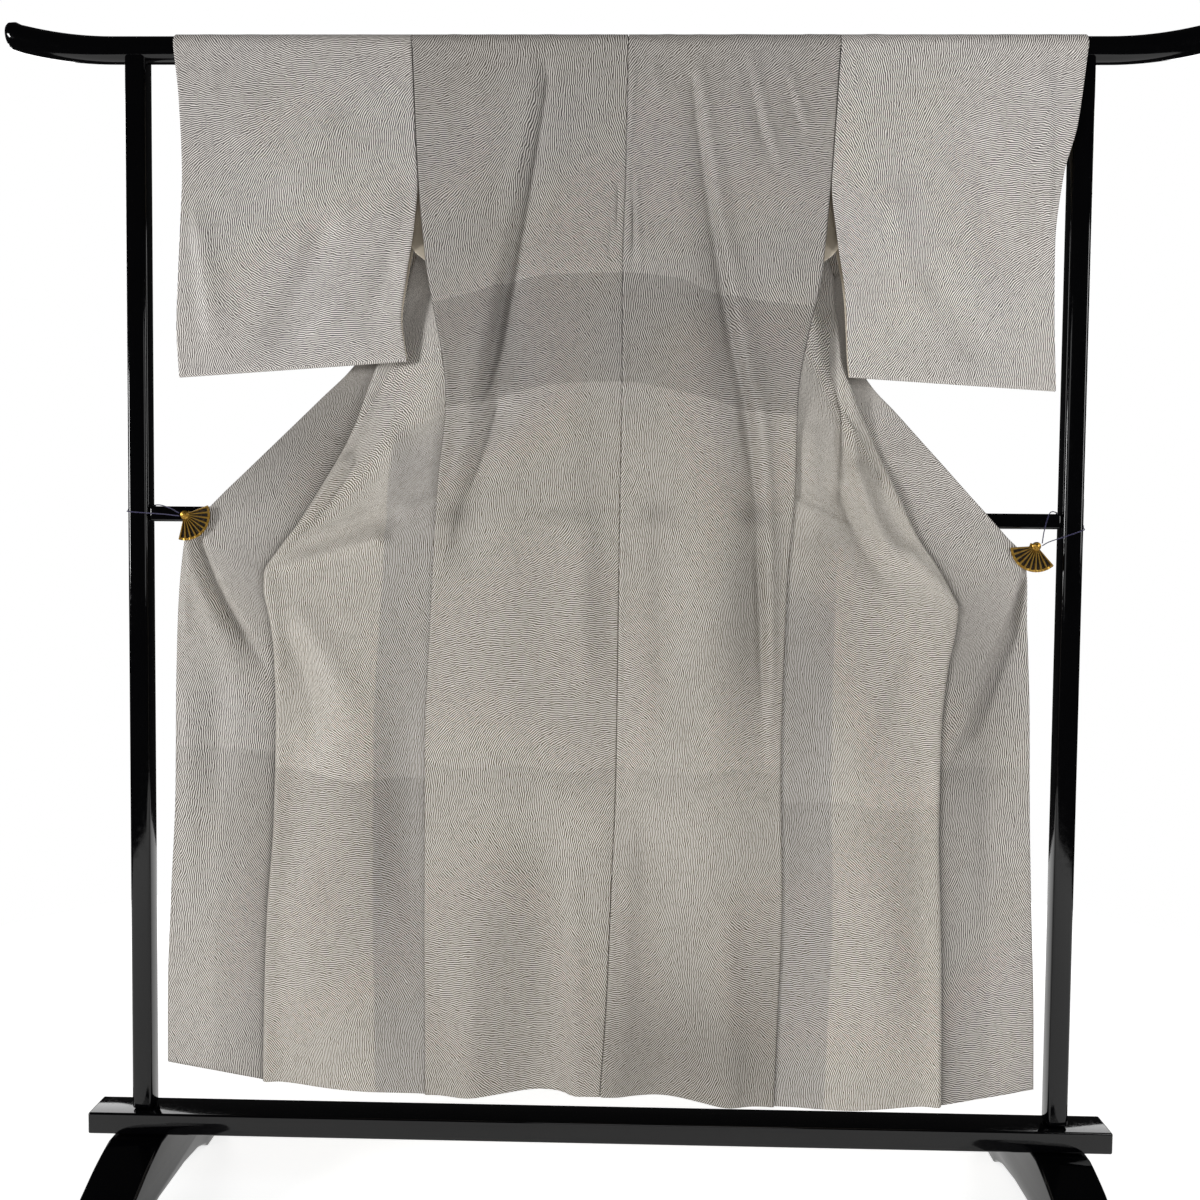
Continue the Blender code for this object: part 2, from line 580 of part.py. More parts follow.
def build_collar(parts, silk):
    """One strip from tip to tip: up the left front, round the neck and down the right front."""
    climb = [("edge", z) for z in [COLLAR_TIP + 0.003] + LOW_ROWS + HIGH_ROWS if z > COLLAR_TIP]
    neck = [("neck", NECK_ANGLE * t) for t in (0.0, 0.35, 0.65, 0.85)]
    left = [("left", row) for row in climb + neck]
    right = [("right", row) for row in reversed(climb + neck)]
    rows = left + [("left", ("neck", NECK_ANGLE))] + right
    cloth_grid("collar", COLLAR_CELLS, rows, lambda q, row: collar_point(row[0], q, row[1]), parts, silk)


# ---------------------------------------------------------------- clips and cords
def build_clips(parts, cutters, brass):
    """Folding-fan clips: a pleated fan over the cloth's corner, and a hub whose jaw lies behind it."""
    for side, clip in CLIPS.items():
        first = math.radians(clip.middle_deg - clip.spread_deg / 2)
        sweep = math.radians(clip.spread_deg)
        bm = bmesh.new()
        bmesh.ops.create_grid(bm, x_segments=2 * FAN_RIBS, y_segments=2, size=0.5)
        for vert in bm.verts:
            rib = round((vert.co.x + 0.5) * 2 * FAN_RIBS)
            turn = first + sweep * (vert.co.x + 0.5)
            out = mix(FAN_INNER_R, FAN_R, vert.co.y + 0.5)
            proud = FAN_PLEAT * (1 if rib % 2 else -1) * out / FAN_R
            vert.co = (clip.x + out * math.cos(turn), FAN_Y - proud, clip.z + out * math.sin(turn))
        fan = add_object("clip_fan_" + side, mesh_from(bm, "clip_fan_" + side), parts, brass)
        wall = fan.modifiers.new("wall", "SOLIDIFY")
        wall.thickness = FAN_WALL
        wall.offset = 0.0

        bm = bmesh.new()
        deep = JAW_Y - HUB_FRONT
        bmesh.ops.create_cone(bm, cap_ends=True, segments=20, radius1=HUB_R, radius2=HUB_R, depth=deep)
        hub = add_object("clip_jaw_" + side, mesh_from(bm, "clip_jaw_" + side), parts, brass)
        hub.rotation_euler = (math.pi / 2, 0, 0)
        hub.location = (clip.x, HUB_FRONT + deep / 2, clip.z)
        turn = math.radians(clip.middle_deg)
        jaw = add_box("jaw_plate", JAW_SIZE,
                      (clip.x + 0.4 * JAW_SIZE[0] * math.cos(turn), JAW_Y,
                       clip.z + 0.4 * JAW_SIZE[0] * math.sin(turn)), cutters, brass)
        jaw.rotation_euler = (0, -turn, 0)
        join = hub.modifiers.new("jaw", "BOOLEAN")
        join.operation = "UNION"
        join.solver = "EXACT"
        join.object = jaw
        jaw.hide_render = True
        jaw.display_type = "WIRE"


def through(points, count):
    """Points evenly spaced in parameter along a smooth curve through the route's own points."""
    route = [Vector(p) for p in points]
    ends = [2 * route[0] - route[1]] + route + [2 * route[-1] - route[-2]]
    places = []
    for k in range(count):
        at = k * (len(route) - 1) / (count - 1)
        i = min(int(at), len(route) - 2)
        t = at - i
        a, b, c, d = ends[i:i + 4]
        places.append(0.5 * (2 * b + (c - a) * t + (2 * a - 5 * b + 4 * c - d) * t * t
                             + (3 * b - a - 3 * c + d) * t ** 3))
    return places


def build_cords(parts, braid):
    for side, route in CORDS.items():
        curve = bpy.data.curves.new("cord_" + side, "CURVE")
        curve.dimensions = "3D"
        curve.bevel_depth = CORD_R
        curve.bevel_resolution = 2
        curve.use_fill_caps = True
        spline = curve.splines.new("POLY")
        spline.points.add(CORD_POINTS - 1)
        for point, place in zip(spline.points, through(route, CORD_POINTS)):
            point.co = (*place, 1)
        add_object("cord_" + side, curve, parts, braid)


def main():
    for obj in list(bpy.data.objects):
        bpy.data.objects.remove(obj)
    parts = bpy.data.collections.new("kimono_on_stand")
    cutters = bpy.data.collections.new("cutters")
    bpy.context.scene.collection.children.link(parts)
    bpy.context.scene.collection.children.link(cutters)
    lacquer = make_material("black_lacquer", (0.012, 0.012, 0.013), 0.08)
    silk = make_material("silk", (0.40, 0.37, 0.33), 0.55)
    brass = make_material("gilt_brass", (0.62, 0.40, 0.14), 0.3, metallic=1.0)
    braid = make_material("purple_braid", (0.06, 0.03, 0.14), 0.7)
    build_rail(parts, cutters, lacquer)
    build_posts(parts, lacquer)
    build_bars(parts, lacquer)
    build_feet(parts, lacquer)
    build_bodies(parts, silk)
    build_overlaps(parts, silk)
    build_sleeves(parts, silk)
    build_collar(parts, silk)
    build_clips(parts, cutters, brass)
    build_cords(parts, braid)


main()
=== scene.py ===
"""Looks of a silk kimono shown back-outwards on a black lacquered kimono stand.

Metres, +Z up, in the frame's own coordinates: +X runs along the top rail and the kimono's back faces -Y.
"""

import bisect
import math
from collections import namedtuple

import bmesh
import bpy
from bpy.props import FloatProperty, FloatVectorProperty, IntProperty, PointerProperty
from mathutils import Matrix, Vector, noise


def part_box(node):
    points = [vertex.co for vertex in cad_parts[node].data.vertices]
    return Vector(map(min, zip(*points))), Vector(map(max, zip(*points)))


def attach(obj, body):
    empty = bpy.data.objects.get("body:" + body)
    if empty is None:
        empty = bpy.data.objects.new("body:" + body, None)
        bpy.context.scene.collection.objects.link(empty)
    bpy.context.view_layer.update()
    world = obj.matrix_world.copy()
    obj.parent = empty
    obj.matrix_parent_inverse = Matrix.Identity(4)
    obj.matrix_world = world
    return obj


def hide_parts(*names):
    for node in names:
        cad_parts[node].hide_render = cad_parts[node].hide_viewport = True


bl_info = {
    "name": "Silk Kimono on a Lacquered Stand",
    "version": (1, 0, 0),
    "blender": (4, 5, 0),
    "location": "3D View > Sidebar > Kimono",
    "description": "Models a lined silk kimono, its fan clips and cords, and the stand that it hangs on",
    "category": "Add Mesh",
}

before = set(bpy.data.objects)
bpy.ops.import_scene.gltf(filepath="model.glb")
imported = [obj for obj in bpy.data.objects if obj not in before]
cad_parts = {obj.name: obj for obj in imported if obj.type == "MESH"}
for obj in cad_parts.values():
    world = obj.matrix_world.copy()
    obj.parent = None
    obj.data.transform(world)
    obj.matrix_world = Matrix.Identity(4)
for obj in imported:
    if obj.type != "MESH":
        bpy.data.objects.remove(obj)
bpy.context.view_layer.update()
SIDES = ("left", "right")

# ---------------------------------------------------------------- sizes shared with the frame
RAIL_Z = 1.703                # middle of the top rail
RAIL_R = 0.019
RAIL_HALF = 0.868
RAIL_BEND = 0.715             # where each end begins to turn up
RAIL_RISE = 0.021
POST_X = 0.680
CLOTH_LAP = 0.0019            # one layer lying on the next, middle to middle
SEAM_LAP = 0.0027             # the same at the side seams
SEAM_INSET = 0.003
CENTRE_GAP = 0.0004
DRAPE_R = 0.02065             # middle of the cloth where it bends over the rail
UNDERARM = 1.396
SHOULDER = 1.700
NECK_HALF = 0.090
NECK_ANGLE = 62.0
NECK_LAP = 0.005              # how far the collar laps over the neck edge at the shoulders
CUFF_END = 1.500
SLEEVE_SEAM = 0.0008
SLEEVE_FOLD_R = 0.0035
SLEEVE_BOTTOM_Y = -0.012
SLEEVE_WIDE = 0.34
OVERLAP_WIDE = 0.15
COLLAR_WIDE = 0.055
KENSAKI = 1.455               # row where the overlap panel comes to its point
COLLAR_TIP = 0.978            # row where the collar ends
HEM = 0.188                   # side-edge height of the lowest row
FAN_R = 0.037
FAN_INNER_R = 0.0068
FAN_RIBS = 9
FAN_Y = -0.0368
HUB_R = 0.0062
HUB_FRONT = -0.0415
JAW_Y = -0.0245
CORD_R = 0.00075
CORD_POINTS = 48

Back = namedtuple("Back", "z centre left right y_centre y_left y_right")
BACK = [
    Back(0.188, 0.006, -0.250, 0.257, -0.044, -0.0475, -0.065),
    Back(0.320, 0.014, -0.252, 0.262, -0.038, -0.0400, -0.054),
    Back(0.470, 0.019, -0.254, 0.267, -0.034, -0.0340, -0.044),
    Back(0.680, 0.025, -0.254, 0.263, -0.031, -0.0310, -0.036),
    Back(0.930, 0.026, -0.245, 0.268, -0.029, -0.0300, -0.032),
    Back(1.080, 0.027, -0.237, 0.278, -0.028, -0.0290, -0.030),
    Back(1.200, 0.028, -0.226, 0.280, -0.026, -0.0270, -0.028),
    Back(1.396, 0.027, -0.256, 0.313, -0.023, -0.0225, -0.0225),
    Back(1.520, 0.030, -0.268, 0.323, -0.0215, -0.0212, -0.0212),
    Back(1.703, 0.032, -0.277, 0.333, -DRAPE_R, -DRAPE_R, -DRAPE_R),
]

# The opened fronts by height of the side edge: how far the cloth tucks inwards behind the back, where
# the overlap seam and the outer edge lie, how far the middle bellies out to -Y, and how far the front
# billows out over the overlap seam before it turns back to it.
Wing = namedtuple("Wing", "z tuck seam_x seam_y seam_z edge_x edge_y edge_z belly billow")
WINGS = {
    "left": [
        Wing(0.188, 0.000, -0.493, -0.030, 0.197, -0.645, -0.002, 0.210, 0.010, 0.000),
        Wing(0.320, 0.000, -0.489, -0.035, 0.325, -0.641, -0.010, 0.340, 0.016, 0.000),
        Wing(0.450, 0.000, -0.484, -0.037, 0.447, -0.6335, -0.016, 0.464, 0.022, 0.000),
        Wing(0.600, 0.000, -0.4735, -0.037, 0.592, -0.6235, -0.022, 0.622, 0.026, 0.000),
        Wing(0.750, 0.000, -0.4705, -0.036, 0.733, -0.6195, -0.027, 0.782, 0.022, 0.000),
        Wing(0.870, 0.000, -0.474, -0.035, 0.838, -0.614, -0.031, 0.902, 0.010, 0.000),
        Wing(0.930, 0.000, -0.481, -0.034, 0.885, -0.608, -0.032, 0.965, 0.004, 0.000),
        Wing(0.975, 0.000, -0.489, -0.033, 0.925, -0.600, -0.032, 1.012, 0.000, 0.000),
        Wing(1.010, 0.000, -0.489, -0.031, 0.9465, -0.578, -0.030, 1.032, 0.000, 0.000),
        Wing(1.050, 0.000, -0.468, -0.028, 0.982, -0.5485, -0.026, 1.063, 0.000, 0.000),
        Wing(1.090, 0.018, -0.4416, -0.024, 1.018, -0.519, -0.022, 1.0925, 0.000, 0.000),
        Wing(1.190, 0.036, -0.3866, -0.011, 1.111, -0.446, -0.007, 1.168, 0.000, 0.001),
        Wing(1.240, 0.050, -0.3590, -0.002, 1.158, -0.4095, 0.002, 1.2065, 0.000, 0.006),
        Wing(1.290, 0.066, -0.3316, 0.008, 1.205, -0.373, 0.011, 1.245, 0.000, 0.019),
        Wing(1.345, 0.080, -0.3060, 0.018, 1.275, -0.3340, 0.020, 1.303, 0.000, 0.024),
        Wing(1.396, 0.0925, -0.292, 0.026, 1.350, -0.315, 0.027, 1.370, 0.000, 0.012),
        Wing(1.425, 0.108, -0.286, 0.031, 1.392, -0.304, 0.032, 1.405, 0.000, 0.003),
        Wing(1.455, 0.115, -0.272, 0.038, 1.432, -0.286, 0.038, 1.440, 0.000, 0.000),
        Wing(1.520, 0.105, -0.190, 0.056, 1.506, -0.190, 0.056, 1.506, 0.000, 0.000),
        Wing(1.580, 0.095, -0.108, 0.043, 1.583, -0.108, 0.043, 1.583, 0.000, 0.000),
        Wing(1.650, 0.103, -0.080, 0.029, 1.650, -0.080, 0.029, 1.650, 0.000, 0.000),
        Wing(1.700, 0.108, -0.058, DRAPE_R, 1.700, -0.058, DRAPE_R, 1.700, 0.000, 0.000),
    ],
    "right": [
        Wing(0.188, 0.000, 0.500, -0.0475, 0.186, 0.645, -0.009, 0.196, 0.014, 0.000),
        Wing(0.320, 0.000, 0.498, -0.046, 0.318, 0.640, -0.014, 0.326, 0.020, 0.000),
        Wing(0.450, 0.000, 0.495, -0.043, 0.447, 0.632, -0.020, 0.456, 0.024, 0.000),
        Wing(0.600, 0.000, 0.490, -0.040, 0.592, 0.624, -0.025, 0.610, 0.026, 0.000),
        Wing(0.750, 0.000, 0.491, -0.037, 0.722, 0.618, -0.030, 0.768, 0.022, 0.000),
        Wing(0.870, 0.000, 0.500, -0.035, 0.822, 0.611, -0.033, 0.895, 0.010, 0.000),
        Wing(0.930, 0.000, 0.510, -0.034, 0.875, 0.610, -0.034, 0.945, 0.004, 0.000),
        Wing(0.975, 0.000, 0.513, -0.033, 0.905, 0.600, -0.034, 0.985, 0.000, 0.000),
        Wing(1.010, 0.000, 0.503, -0.031, 0.928, 0.580, -0.030, 1.0085, 0.000, 0.000),
        Wing(1.050, 0.000, 0.482, -0.028, 0.966, 0.553, -0.026, 1.040, 0.000, 0.000),
        Wing(1.090, 0.024, 0.457, -0.024, 1.003, 0.5255, -0.022, 1.071, 0.000, 0.001),
        Wing(1.140, 0.036, 0.4285, -0.018, 1.049, 0.4920, -0.015, 1.110, 0.000, 0.007),
        Wing(1.190, 0.049, 0.400, -0.011, 1.095, 0.458, -0.007, 1.1495, 0.000, 0.014),
        Wing(1.240, 0.061, 0.3745, -0.002, 1.142, 0.4245, 0.002, 1.189, 0.000, 0.020),
        Wing(1.290, 0.072, 0.349, 0.008, 1.190, 0.3905, 0.011, 1.228, 0.000, 0.024),
        Wing(1.345, 0.086, 0.3290, 0.018, 1.262, 0.3590, 0.020, 1.289, 0.000, 0.022),
        Wing(1.396, 0.100, 0.332, 0.026, 1.335, 0.356, 0.027, 1.356, 0.000, 0.010),
        Wing(1.425, 0.112, 0.336, 0.031, 1.380, 0.352, 0.032, 1.394, 0.000, 0.003),
        Wing(1.455, 0.118, 0.326, 0.038, 1.424, 0.340, 0.038, 1.432, 0.000, 0.000),
        Wing(1.520, 0.108, 0.232, 0.056, 1.506, 0.232, 0.056, 1.506, 0.000, 0.000),
        Wing(1.580, 0.096, 0.166, 0.043, 1.583, 0.166, 0.043, 1.583, 0.000, 0.000),
        Wing(1.650, 0.102, 0.142, 0.029, 1.650, 0.142, 0.029, 1.650, 0.000, 0.000),
        Wing(1.700, 0.1055, 0.122, DRAPE_R, 1.700, 0.122, DRAPE_R, 1.700, 0.000, 0.000),
    ],
}

# Front edge of each armhole above the underarm: its depth, and how far it bulges out past the back.
Armhole = namedtuple("Armhole", "z y bulge")
ARMHOLE = [
    Armhole(UNDERARM, -0.0225 + SEAM_LAP, 0.000),
    Armhole(1.412, -0.0160, 0.018),
    Armhole(1.430, -0.0080, 0.026),
    Armhole(1.455, 0.0035, 0.018),
    Armhole(1.490, 0.0060, 0.006),
    Armhole(1.580, 0.0122, 0.000),
    Armhole(1.700, DRAPE_R, 0.000),
]

Sleeve = namedtuple("Sleeve", "z free cuff")
SLEEVES = {
    "left": [
        Sleeve(1.234, 0.054, -0.617),
        Sleeve(1.297, 0.053, -0.620),
        Sleeve(1.384, 0.029, -0.616),
        Sleeve(1.450, 0.011, -0.612),
        Sleeve(1.520, SLEEVE_SEAM, -0.609),
        Sleeve(1.625, SLEEVE_SEAM, -0.613),
        Sleeve(1.703, SLEEVE_SEAM, -0.621),
    ],
    "right": [
        Sleeve(1.222, 0.075, 0.649),
        Sleeve(1.338, 0.044, 0.643),
        Sleeve(1.428, 0.017, 0.641),
        Sleeve(1.520, SLEEVE_SEAM, 0.650),
        Sleeve(1.592, SLEEVE_SEAM, 0.668),
        Sleeve(1.703, SLEEVE_SEAM, 0.681),
    ],
}
SLEEVE_BOTTOM = {"left": (1.259, 1.234), "right": (1.240, 1.222)}

Clip = namedtuple("Clip", "x z middle_deg spread_deg")
CLIPS = {"left": Clip(-0.602, 1.030, -41, 122), "right": Clip(0.620, 0.996, -112, 124)}

CORDS = {
    "left": [(-0.6092, -0.0400, 1.0325), (-0.6250, -0.0280, 1.0390), (-0.6460, -0.0130, 1.0444),
             (-0.6616, 0.0020, 1.0446), (-0.6632, 0.0110, 1.0442), (-0.6690, 0.0166, 1.0436),
             (-0.6800, 0.0170, 1.0422), (-0.6910, 0.0166, 1.0408), (-0.6964, 0.0110, 1.0396),
             (-0.6966, 0.0000, 1.0374), (-0.6964, -0.0110, 1.0352), (-0.6910, -0.0168, 1.0344),
             (-0.6640, -0.0184, 1.0326), (-0.6350, -0.0290, 1.0308), (-0.6094, -0.0385, 1.0284)],
    "right": [(0.6268, -0.0400, 1.0005), (0.6340, -0.0270, 1.0200), (0.6460, -0.0130, 1.0446),
              (0.6616, 0.0020, 1.0448), (0.6632, 0.0110, 1.0438), (0.6690, 0.0166, 1.0420),
              (0.6800, 0.0170, 1.0366), (0.6910, 0.0166, 1.0314), (0.6964, 0.0110, 1.0286),
              (0.6966, 0.0000, 1.0250), (0.6964, -0.0110, 1.0214), (0.6910, -0.0168, 1.0190),
              (0.6640, -0.0184, 1.0095), (0.6400, -0.0300, 1.0025), (0.6278, -0.0385, 0.9970)],
}
KNOT_R = 0.00066
CORD_KNOTS = {"left": (-0.6990, 0.0010, 1.0376), "right": (0.6990, 0.0010, 1.0252)}

# ---------------------------------------------------------------- creases and marks
# Soft troughs (deep > 0) and ridges (deep < 0): the two ends of the line, how far its middle bows to
# +X, the width of its flanks towards -X and +X at the low end, how narrow it is at its top beside that,
# how far it leans away from the back's viewer, and how much of its length its ends take to fade.
Crease = namedtuple("Crease", "x_top z_top x_low z_low bow left right narrow deep fade")
BACK_CREASES = [
    # as broad as the frame's own folds
    Crease(-0.110, 1.640, -0.180, 1.180, 0.000, 0.040, 0.040, 1.0, 0.004, 0.25),
    Crease(0.140, 1.640, 0.210, 1.180, 0.000, 0.040, 0.040, 1.0, 0.004, 0.25),
    Crease(-0.060, 1.300, -0.020, 0.750, 0.000, 0.030, 0.030, 1.0, -0.005, 0.25),
    Crease(0.060, 1.150, 0.080, 0.700, 0.000, 0.035, 0.035, 1.0, 0.004, 0.25),
    # the two long folds that hang from the shoulders: a ridge that falls steeply to its inner side
    Crease(-0.083, 1.700, -0.198, 1.070, 0.003, 0.008, 0.036, 0.32, 0.0165, 0.07),
    Crease(-0.092, 1.700, -0.219, 1.070, 0.003, 0.028, 0.009, 0.40, -0.0100, 0.07),
    Crease(0.118, 1.698, 0.228, 1.070, -0.006, 0.036, 0.009, 0.30, 0.0150, 0.09),
    Crease(0.128, 1.698, 0.250, 1.070, -0.006, 0.009, 0.024, 0.40, -0.0090, 0.09),
    # short folds from the right shoulder
    Crease(0.196, 1.702, 0.244, 1.520, -0.004, 0.018, 0.006, 0.30, 0.0075, 0.12),
    Crease(0.203, 1.702, 0.256, 1.515, -0.004, 0.006, 0.014, 0.30, -0.0065, 0.12),
    Crease(0.243, 1.702, 0.288, 1.560, -0.002, 0.013, 0.005, 0.30, 0.0050, 0.14),
    Crease(0.249, 1.702, 0.298, 1.555, -0.002, 0.005, 0.012, 0.30, -0.0050, 0.14),
    Crease(0.060, 1.700, 0.082, 1.620, 0.000, 0.006, 0.010, 0.40, -0.0026, 0.25),
    Crease(-0.170, 1.702, -0.196, 1.590, 0.000, 0.012, 0.016, 0.40, -0.0020, 0.25),
    # crumples beside the centre seam
    Crease(0.0180, 1.520, 0.0150, 1.425, 0.001, 0.0026, 0.0040, 0.50, 0.0044, 0.25),
    Crease(0.0100, 1.470, 0.0050, 1.392, 0.001, 0.0030, 0.0045, 0.60, 0.0030, 0.25),
    Crease(0.0395, 1.500, 0.0400, 1.385, 0.001, 0.0030, 0.0030, 0.70, 0.0034, 0.25),
    Crease(0.0455, 1.540, 0.0530, 1.375, -0.002, 0.0040, 0.0060, 0.60, -0.0042, 0.25),
    Crease(0.0620, 1.470, 0.0690, 1.392, 0.000, 0.0045, 0.0060, 0.60, -0.0022, 0.25),
    Crease(0.0300, 1.175, 0.0370, 1.140, 0.000, 0.0026, 0.0040, 0.60, -0.0020, 0.30),
    Crease(0.0420, 1.700, 0.0370, 1.560, 0.000, 0.0040, 0.0050, 0.60, -0.0030, 0.30),
    # below the tuck
    Crease(-0.146, 1.225, -0.226, 0.930, -0.004, 0.010, 0.040, 0.60, 0.0160, 0.14),
    Crease(-0.160, 1.225, -0.240, 0.990, -0.004, 0.014, 0.008, 0.60, -0.0040, 0.16),
    Crease(0.204, 1.240, 0.238, 0.620, 0.006, 0.052, 0.010, 0.60, 0.0190, 0.12),
    Crease(0.226, 1.240, 0.255, 0.620, 0.006, 0.010, 0.011, 0.60, -0.0080, 0.12),
    Crease(-0.022, 1.080, -0.020, 0.740, 0.000, 0.030, 0.018, 0.80, -0.0070, 0.25),
    Crease(0.078, 1.130, 0.090, 0.700, 0.004, 0.018, 0.040, 0.70, 0.0085, 0.25),
    Crease(0.148, 1.120, 0.166, 0.560, 0.000, 0.030, 0.034, 0.80, -0.0050, 0.30),
    Crease(-0.090, 1.080, -0.110, 0.480, 0.000, 0.034, 0.034, 0.80, 0.0030, 0.30),
]
# The lowest folds run out through the hem.
HEM_FOLDS = [
    Crease(-0.070, 0.650, -0.085, 0.150, 0.000, 0.060, 0.060, 1.0, 0.030, 0.25),
    Crease(0.090, 0.650, 0.095, 0.150, 0.000, 0.055, 0.055, 1.0, 0.024, 0.25),
    Crease(-0.034, 0.640, -0.030, 0.150, 0.000, 0.016, 0.020, 0.7, -0.010, 0.40),
    Crease(0.185, 0.560, 0.190, 0.150, 0.000, 0.030, 0.026, 0.7, -0.010, 0.40),
    Crease(-0.175, 0.500, -0.185, 0.150, 0.000, 0.030, 0.026, 0.7, -0.008, 0.40),
]
FRONT_CREASES = {
    "left": [
        Crease(-0.300, 1.000, -0.489, 0.944, -0.006, 0.026, 0.009, 1.0, -0.0121, 0.14),
        Crease(-0.280, 1.050, -0.470, 0.968, 0.006, 0.010, 0.026, 0.8, 0.0115, 0.16),
        Crease(-0.360, 1.128, -0.486, 0.960, 0.003, 0.014, 0.009, 0.8, -0.0115, 0.12),
        Crease(-0.300, 1.180, -0.330, 0.980, 0.010, 0.020, 0.020, 1.0, -0.0054, 0.30),
        Crease(-0.462, 0.920, -0.340, 0.700, 0.014, 0.028, 0.032, 0.5, -0.0081, 0.25),
        Crease(-0.466, 0.880, -0.400, 0.660, 0.012, 0.026, 0.020, 0.5, 0.0088, 0.25),
        Crease(-0.300, 0.820, -0.290, 0.420, 0.000, 0.030, 0.030, 1.0, 0.0068, 0.30),
        Crease(-0.420, 0.560, -0.430, 0.230, 0.000, 0.040, 0.036, 1.0, -0.0081, 0.30),
    ],
    "right": [
        Crease(0.337, 1.345, 0.352, 1.100, 0.004, 0.026, 0.008, 0.8, -0.0120, 0.12),
        Crease(0.346, 1.300, 0.362, 1.050, 0.006, 0.006, 0.014, 0.8, -0.0149, 0.12),
        Crease(0.336, 1.300, 0.346, 1.050, 0.004, 0.012, 0.006, 0.8, 0.0108, 0.12),
        Crease(0.361, 1.120, 0.446, 0.948, -0.014, 0.009, 0.020, 0.8, -0.0162, 0.12),
        Crease(0.340, 1.090, 0.430, 0.922, -0.014, 0.022, 0.010, 0.8, 0.0149, 0.14),
        Crease(0.375, 1.230, 0.408, 1.070, 0.000, 0.010, 0.012, 0.8, 0.0081, 0.20),
        Crease(0.430, 1.000, 0.505, 0.912, 0.000, 0.016, 0.010, 1.0, -0.0095, 0.20),
        Crease(0.300, 1.180, 0.306, 1.000, 0.000, 0.012, 0.014, 1.0, -0.0068, 0.25),
        Crease(0.470, 0.900, 0.380, 0.640, 0.000, 0.024, 0.032, 0.6, 0.0088, 0.25),
        Crease(0.300, 0.900, 0.300, 0.400, 0.006, 0.026, 0.030, 1.0, 0.0081, 0.30),
        Crease(0.400, 0.620, 0.420, 0.230, 0.000, 0.040, 0.036, 1.0, -0.0081, 0.30),
    ],
}
OVERLAP_CREASES = {
    "left": [
        Crease(-0.590, 1.020, -0.466, 0.790, -0.018, 0.024, 0.010, 0.35, 0.0200, 0.10),
        Crease(-0.598, 1.000, -0.496, 0.815, -0.020, 0.022, 0.008, 0.50, -0.0068, 0.16),
        Crease(-0.430, 1.110, -0.582, 1.022, 0.008, 0.030, 0.014, 1.0, 0.0024, 0.50),
        Crease(-0.430, 1.085, -0.582, 1.012, 0.004, 0.016, 0.026, 1.0, -0.0016, 0.50),
        Crease(-0.600, 1.000, -0.606, 0.820, 0.000, 0.006, 0.010, 0.5, -0.0041, 0.20),
        Crease(-0.560, 0.860, -0.560, 0.560, 0.000, 0.024, 0.024, 0.8, 0.0081, 0.30),
        Crease(-0.600, 0.820, -0.605, 0.400, 0.000, 0.018, 0.018, 1.0, -0.0054, 0.30),
        Crease(-0.415, 1.147, -0.362, 1.121, 0.000, 0.0030, 0.0030, 1.0, -0.0030, 0.20),
        Crease(-0.405, 1.098, -0.372, 1.080, 0.000, 0.0040, 0.0030, 1.0, -0.0025, 0.20),
    ],
    "right": [
        Crease(0.612, 0.985, 0.490, 0.640, 0.016, 0.010, 0.052, 0.35, 0.0240, 0.12),
        Crease(0.604, 0.985, 0.484, 0.730, 0.016, 0.020, 0.008, 0.40, -0.0081, 0.12),
        Crease(0.618, 0.970, 0.600, 0.790, 0.006, 0.008, 0.010, 0.60, -0.0061, 0.20),
        Crease(0.460, 1.110, 0.604, 1.006, -0.006, 0.024, 0.016, 1.0, 0.0030, 0.50),
        Crease(0.510, 1.000, 0.606, 0.994, 0.000, 0.016, 0.016, 1.0, -0.0020, 0.50),
        Crease(0.570, 0.780, 0.575, 0.420, 0.000, 0.026, 0.026, 1.0, 0.0081, 0.30),
        Crease(0.442, 1.138, 0.398, 1.111, 0.000, 0.0040, 0.0030, 1.0, -0.0030, 0.20),
    ],
}
SLEEVE_CREASES = {
    "left": [
        Crease(-0.370, 1.610, -0.470, 1.470, 0.000, 0.030, 0.020, 0.8, -0.0081, 0.25),
        Crease(-0.400, 1.480, -0.510, 1.250, 0.012, 0.018, 0.034, 0.7, 0.0135, 0.20),
        Crease(-0.280, 1.510, -0.460, 1.250, 0.012, 0.026, 0.022, 0.6, -0.0115, 0.20),
        Crease(-0.300, 1.420, -0.360, 1.270, 0.004, 0.014, 0.018, 0.7, 0.0068, 0.22),
        Crease(-0.590, 1.480, -0.562, 1.245, 0.004, 0.018, 0.022, 0.6, -0.0081, 0.20),
        Crease(-0.352, 1.704, -0.358, 1.650, 0.000, 0.003, 0.004, 0.7, -0.0049, 0.40),
        Crease(-0.500, 1.660, -0.536, 1.540, 0.000, 0.020, 0.024, 0.7, -0.0041, 0.30),
        Crease(-0.560, 1.704, -0.566, 1.600, 0.000, 0.006, 0.010, 0.5, -0.0027, 0.30),
    ],
    "right": [
        Crease(0.617, 1.700, 0.630, 1.380, 0.002, 0.008, 0.016, 0.6, -0.0088, 0.20),
        Crease(0.600, 1.690, 0.608, 1.400, 0.002, 0.016, 0.008, 0.6, 0.0068, 0.20),
        Crease(0.400, 1.520, 0.480, 1.270, -0.008, 0.022, 0.034, 0.6, -0.0101, 0.20),
        Crease(0.520, 1.610, 0.566, 1.360, 0.000, 0.030, 0.026, 0.7, 0.0088, 0.25),
        Crease(0.440, 1.420, 0.570, 1.235, 0.000, 0.030, 0.020, 0.7, 0.0088, 0.22),
        Crease(0.350, 1.704, 0.360, 1.620, 0.000, 0.004, 0.005, 0.6, -0.0049, 0.30),
        Crease(0.372, 1.704, 0.380, 1.650, 0.000, 0.003, 0.004, 0.6, -0.0038, 0.40),
    ],
}

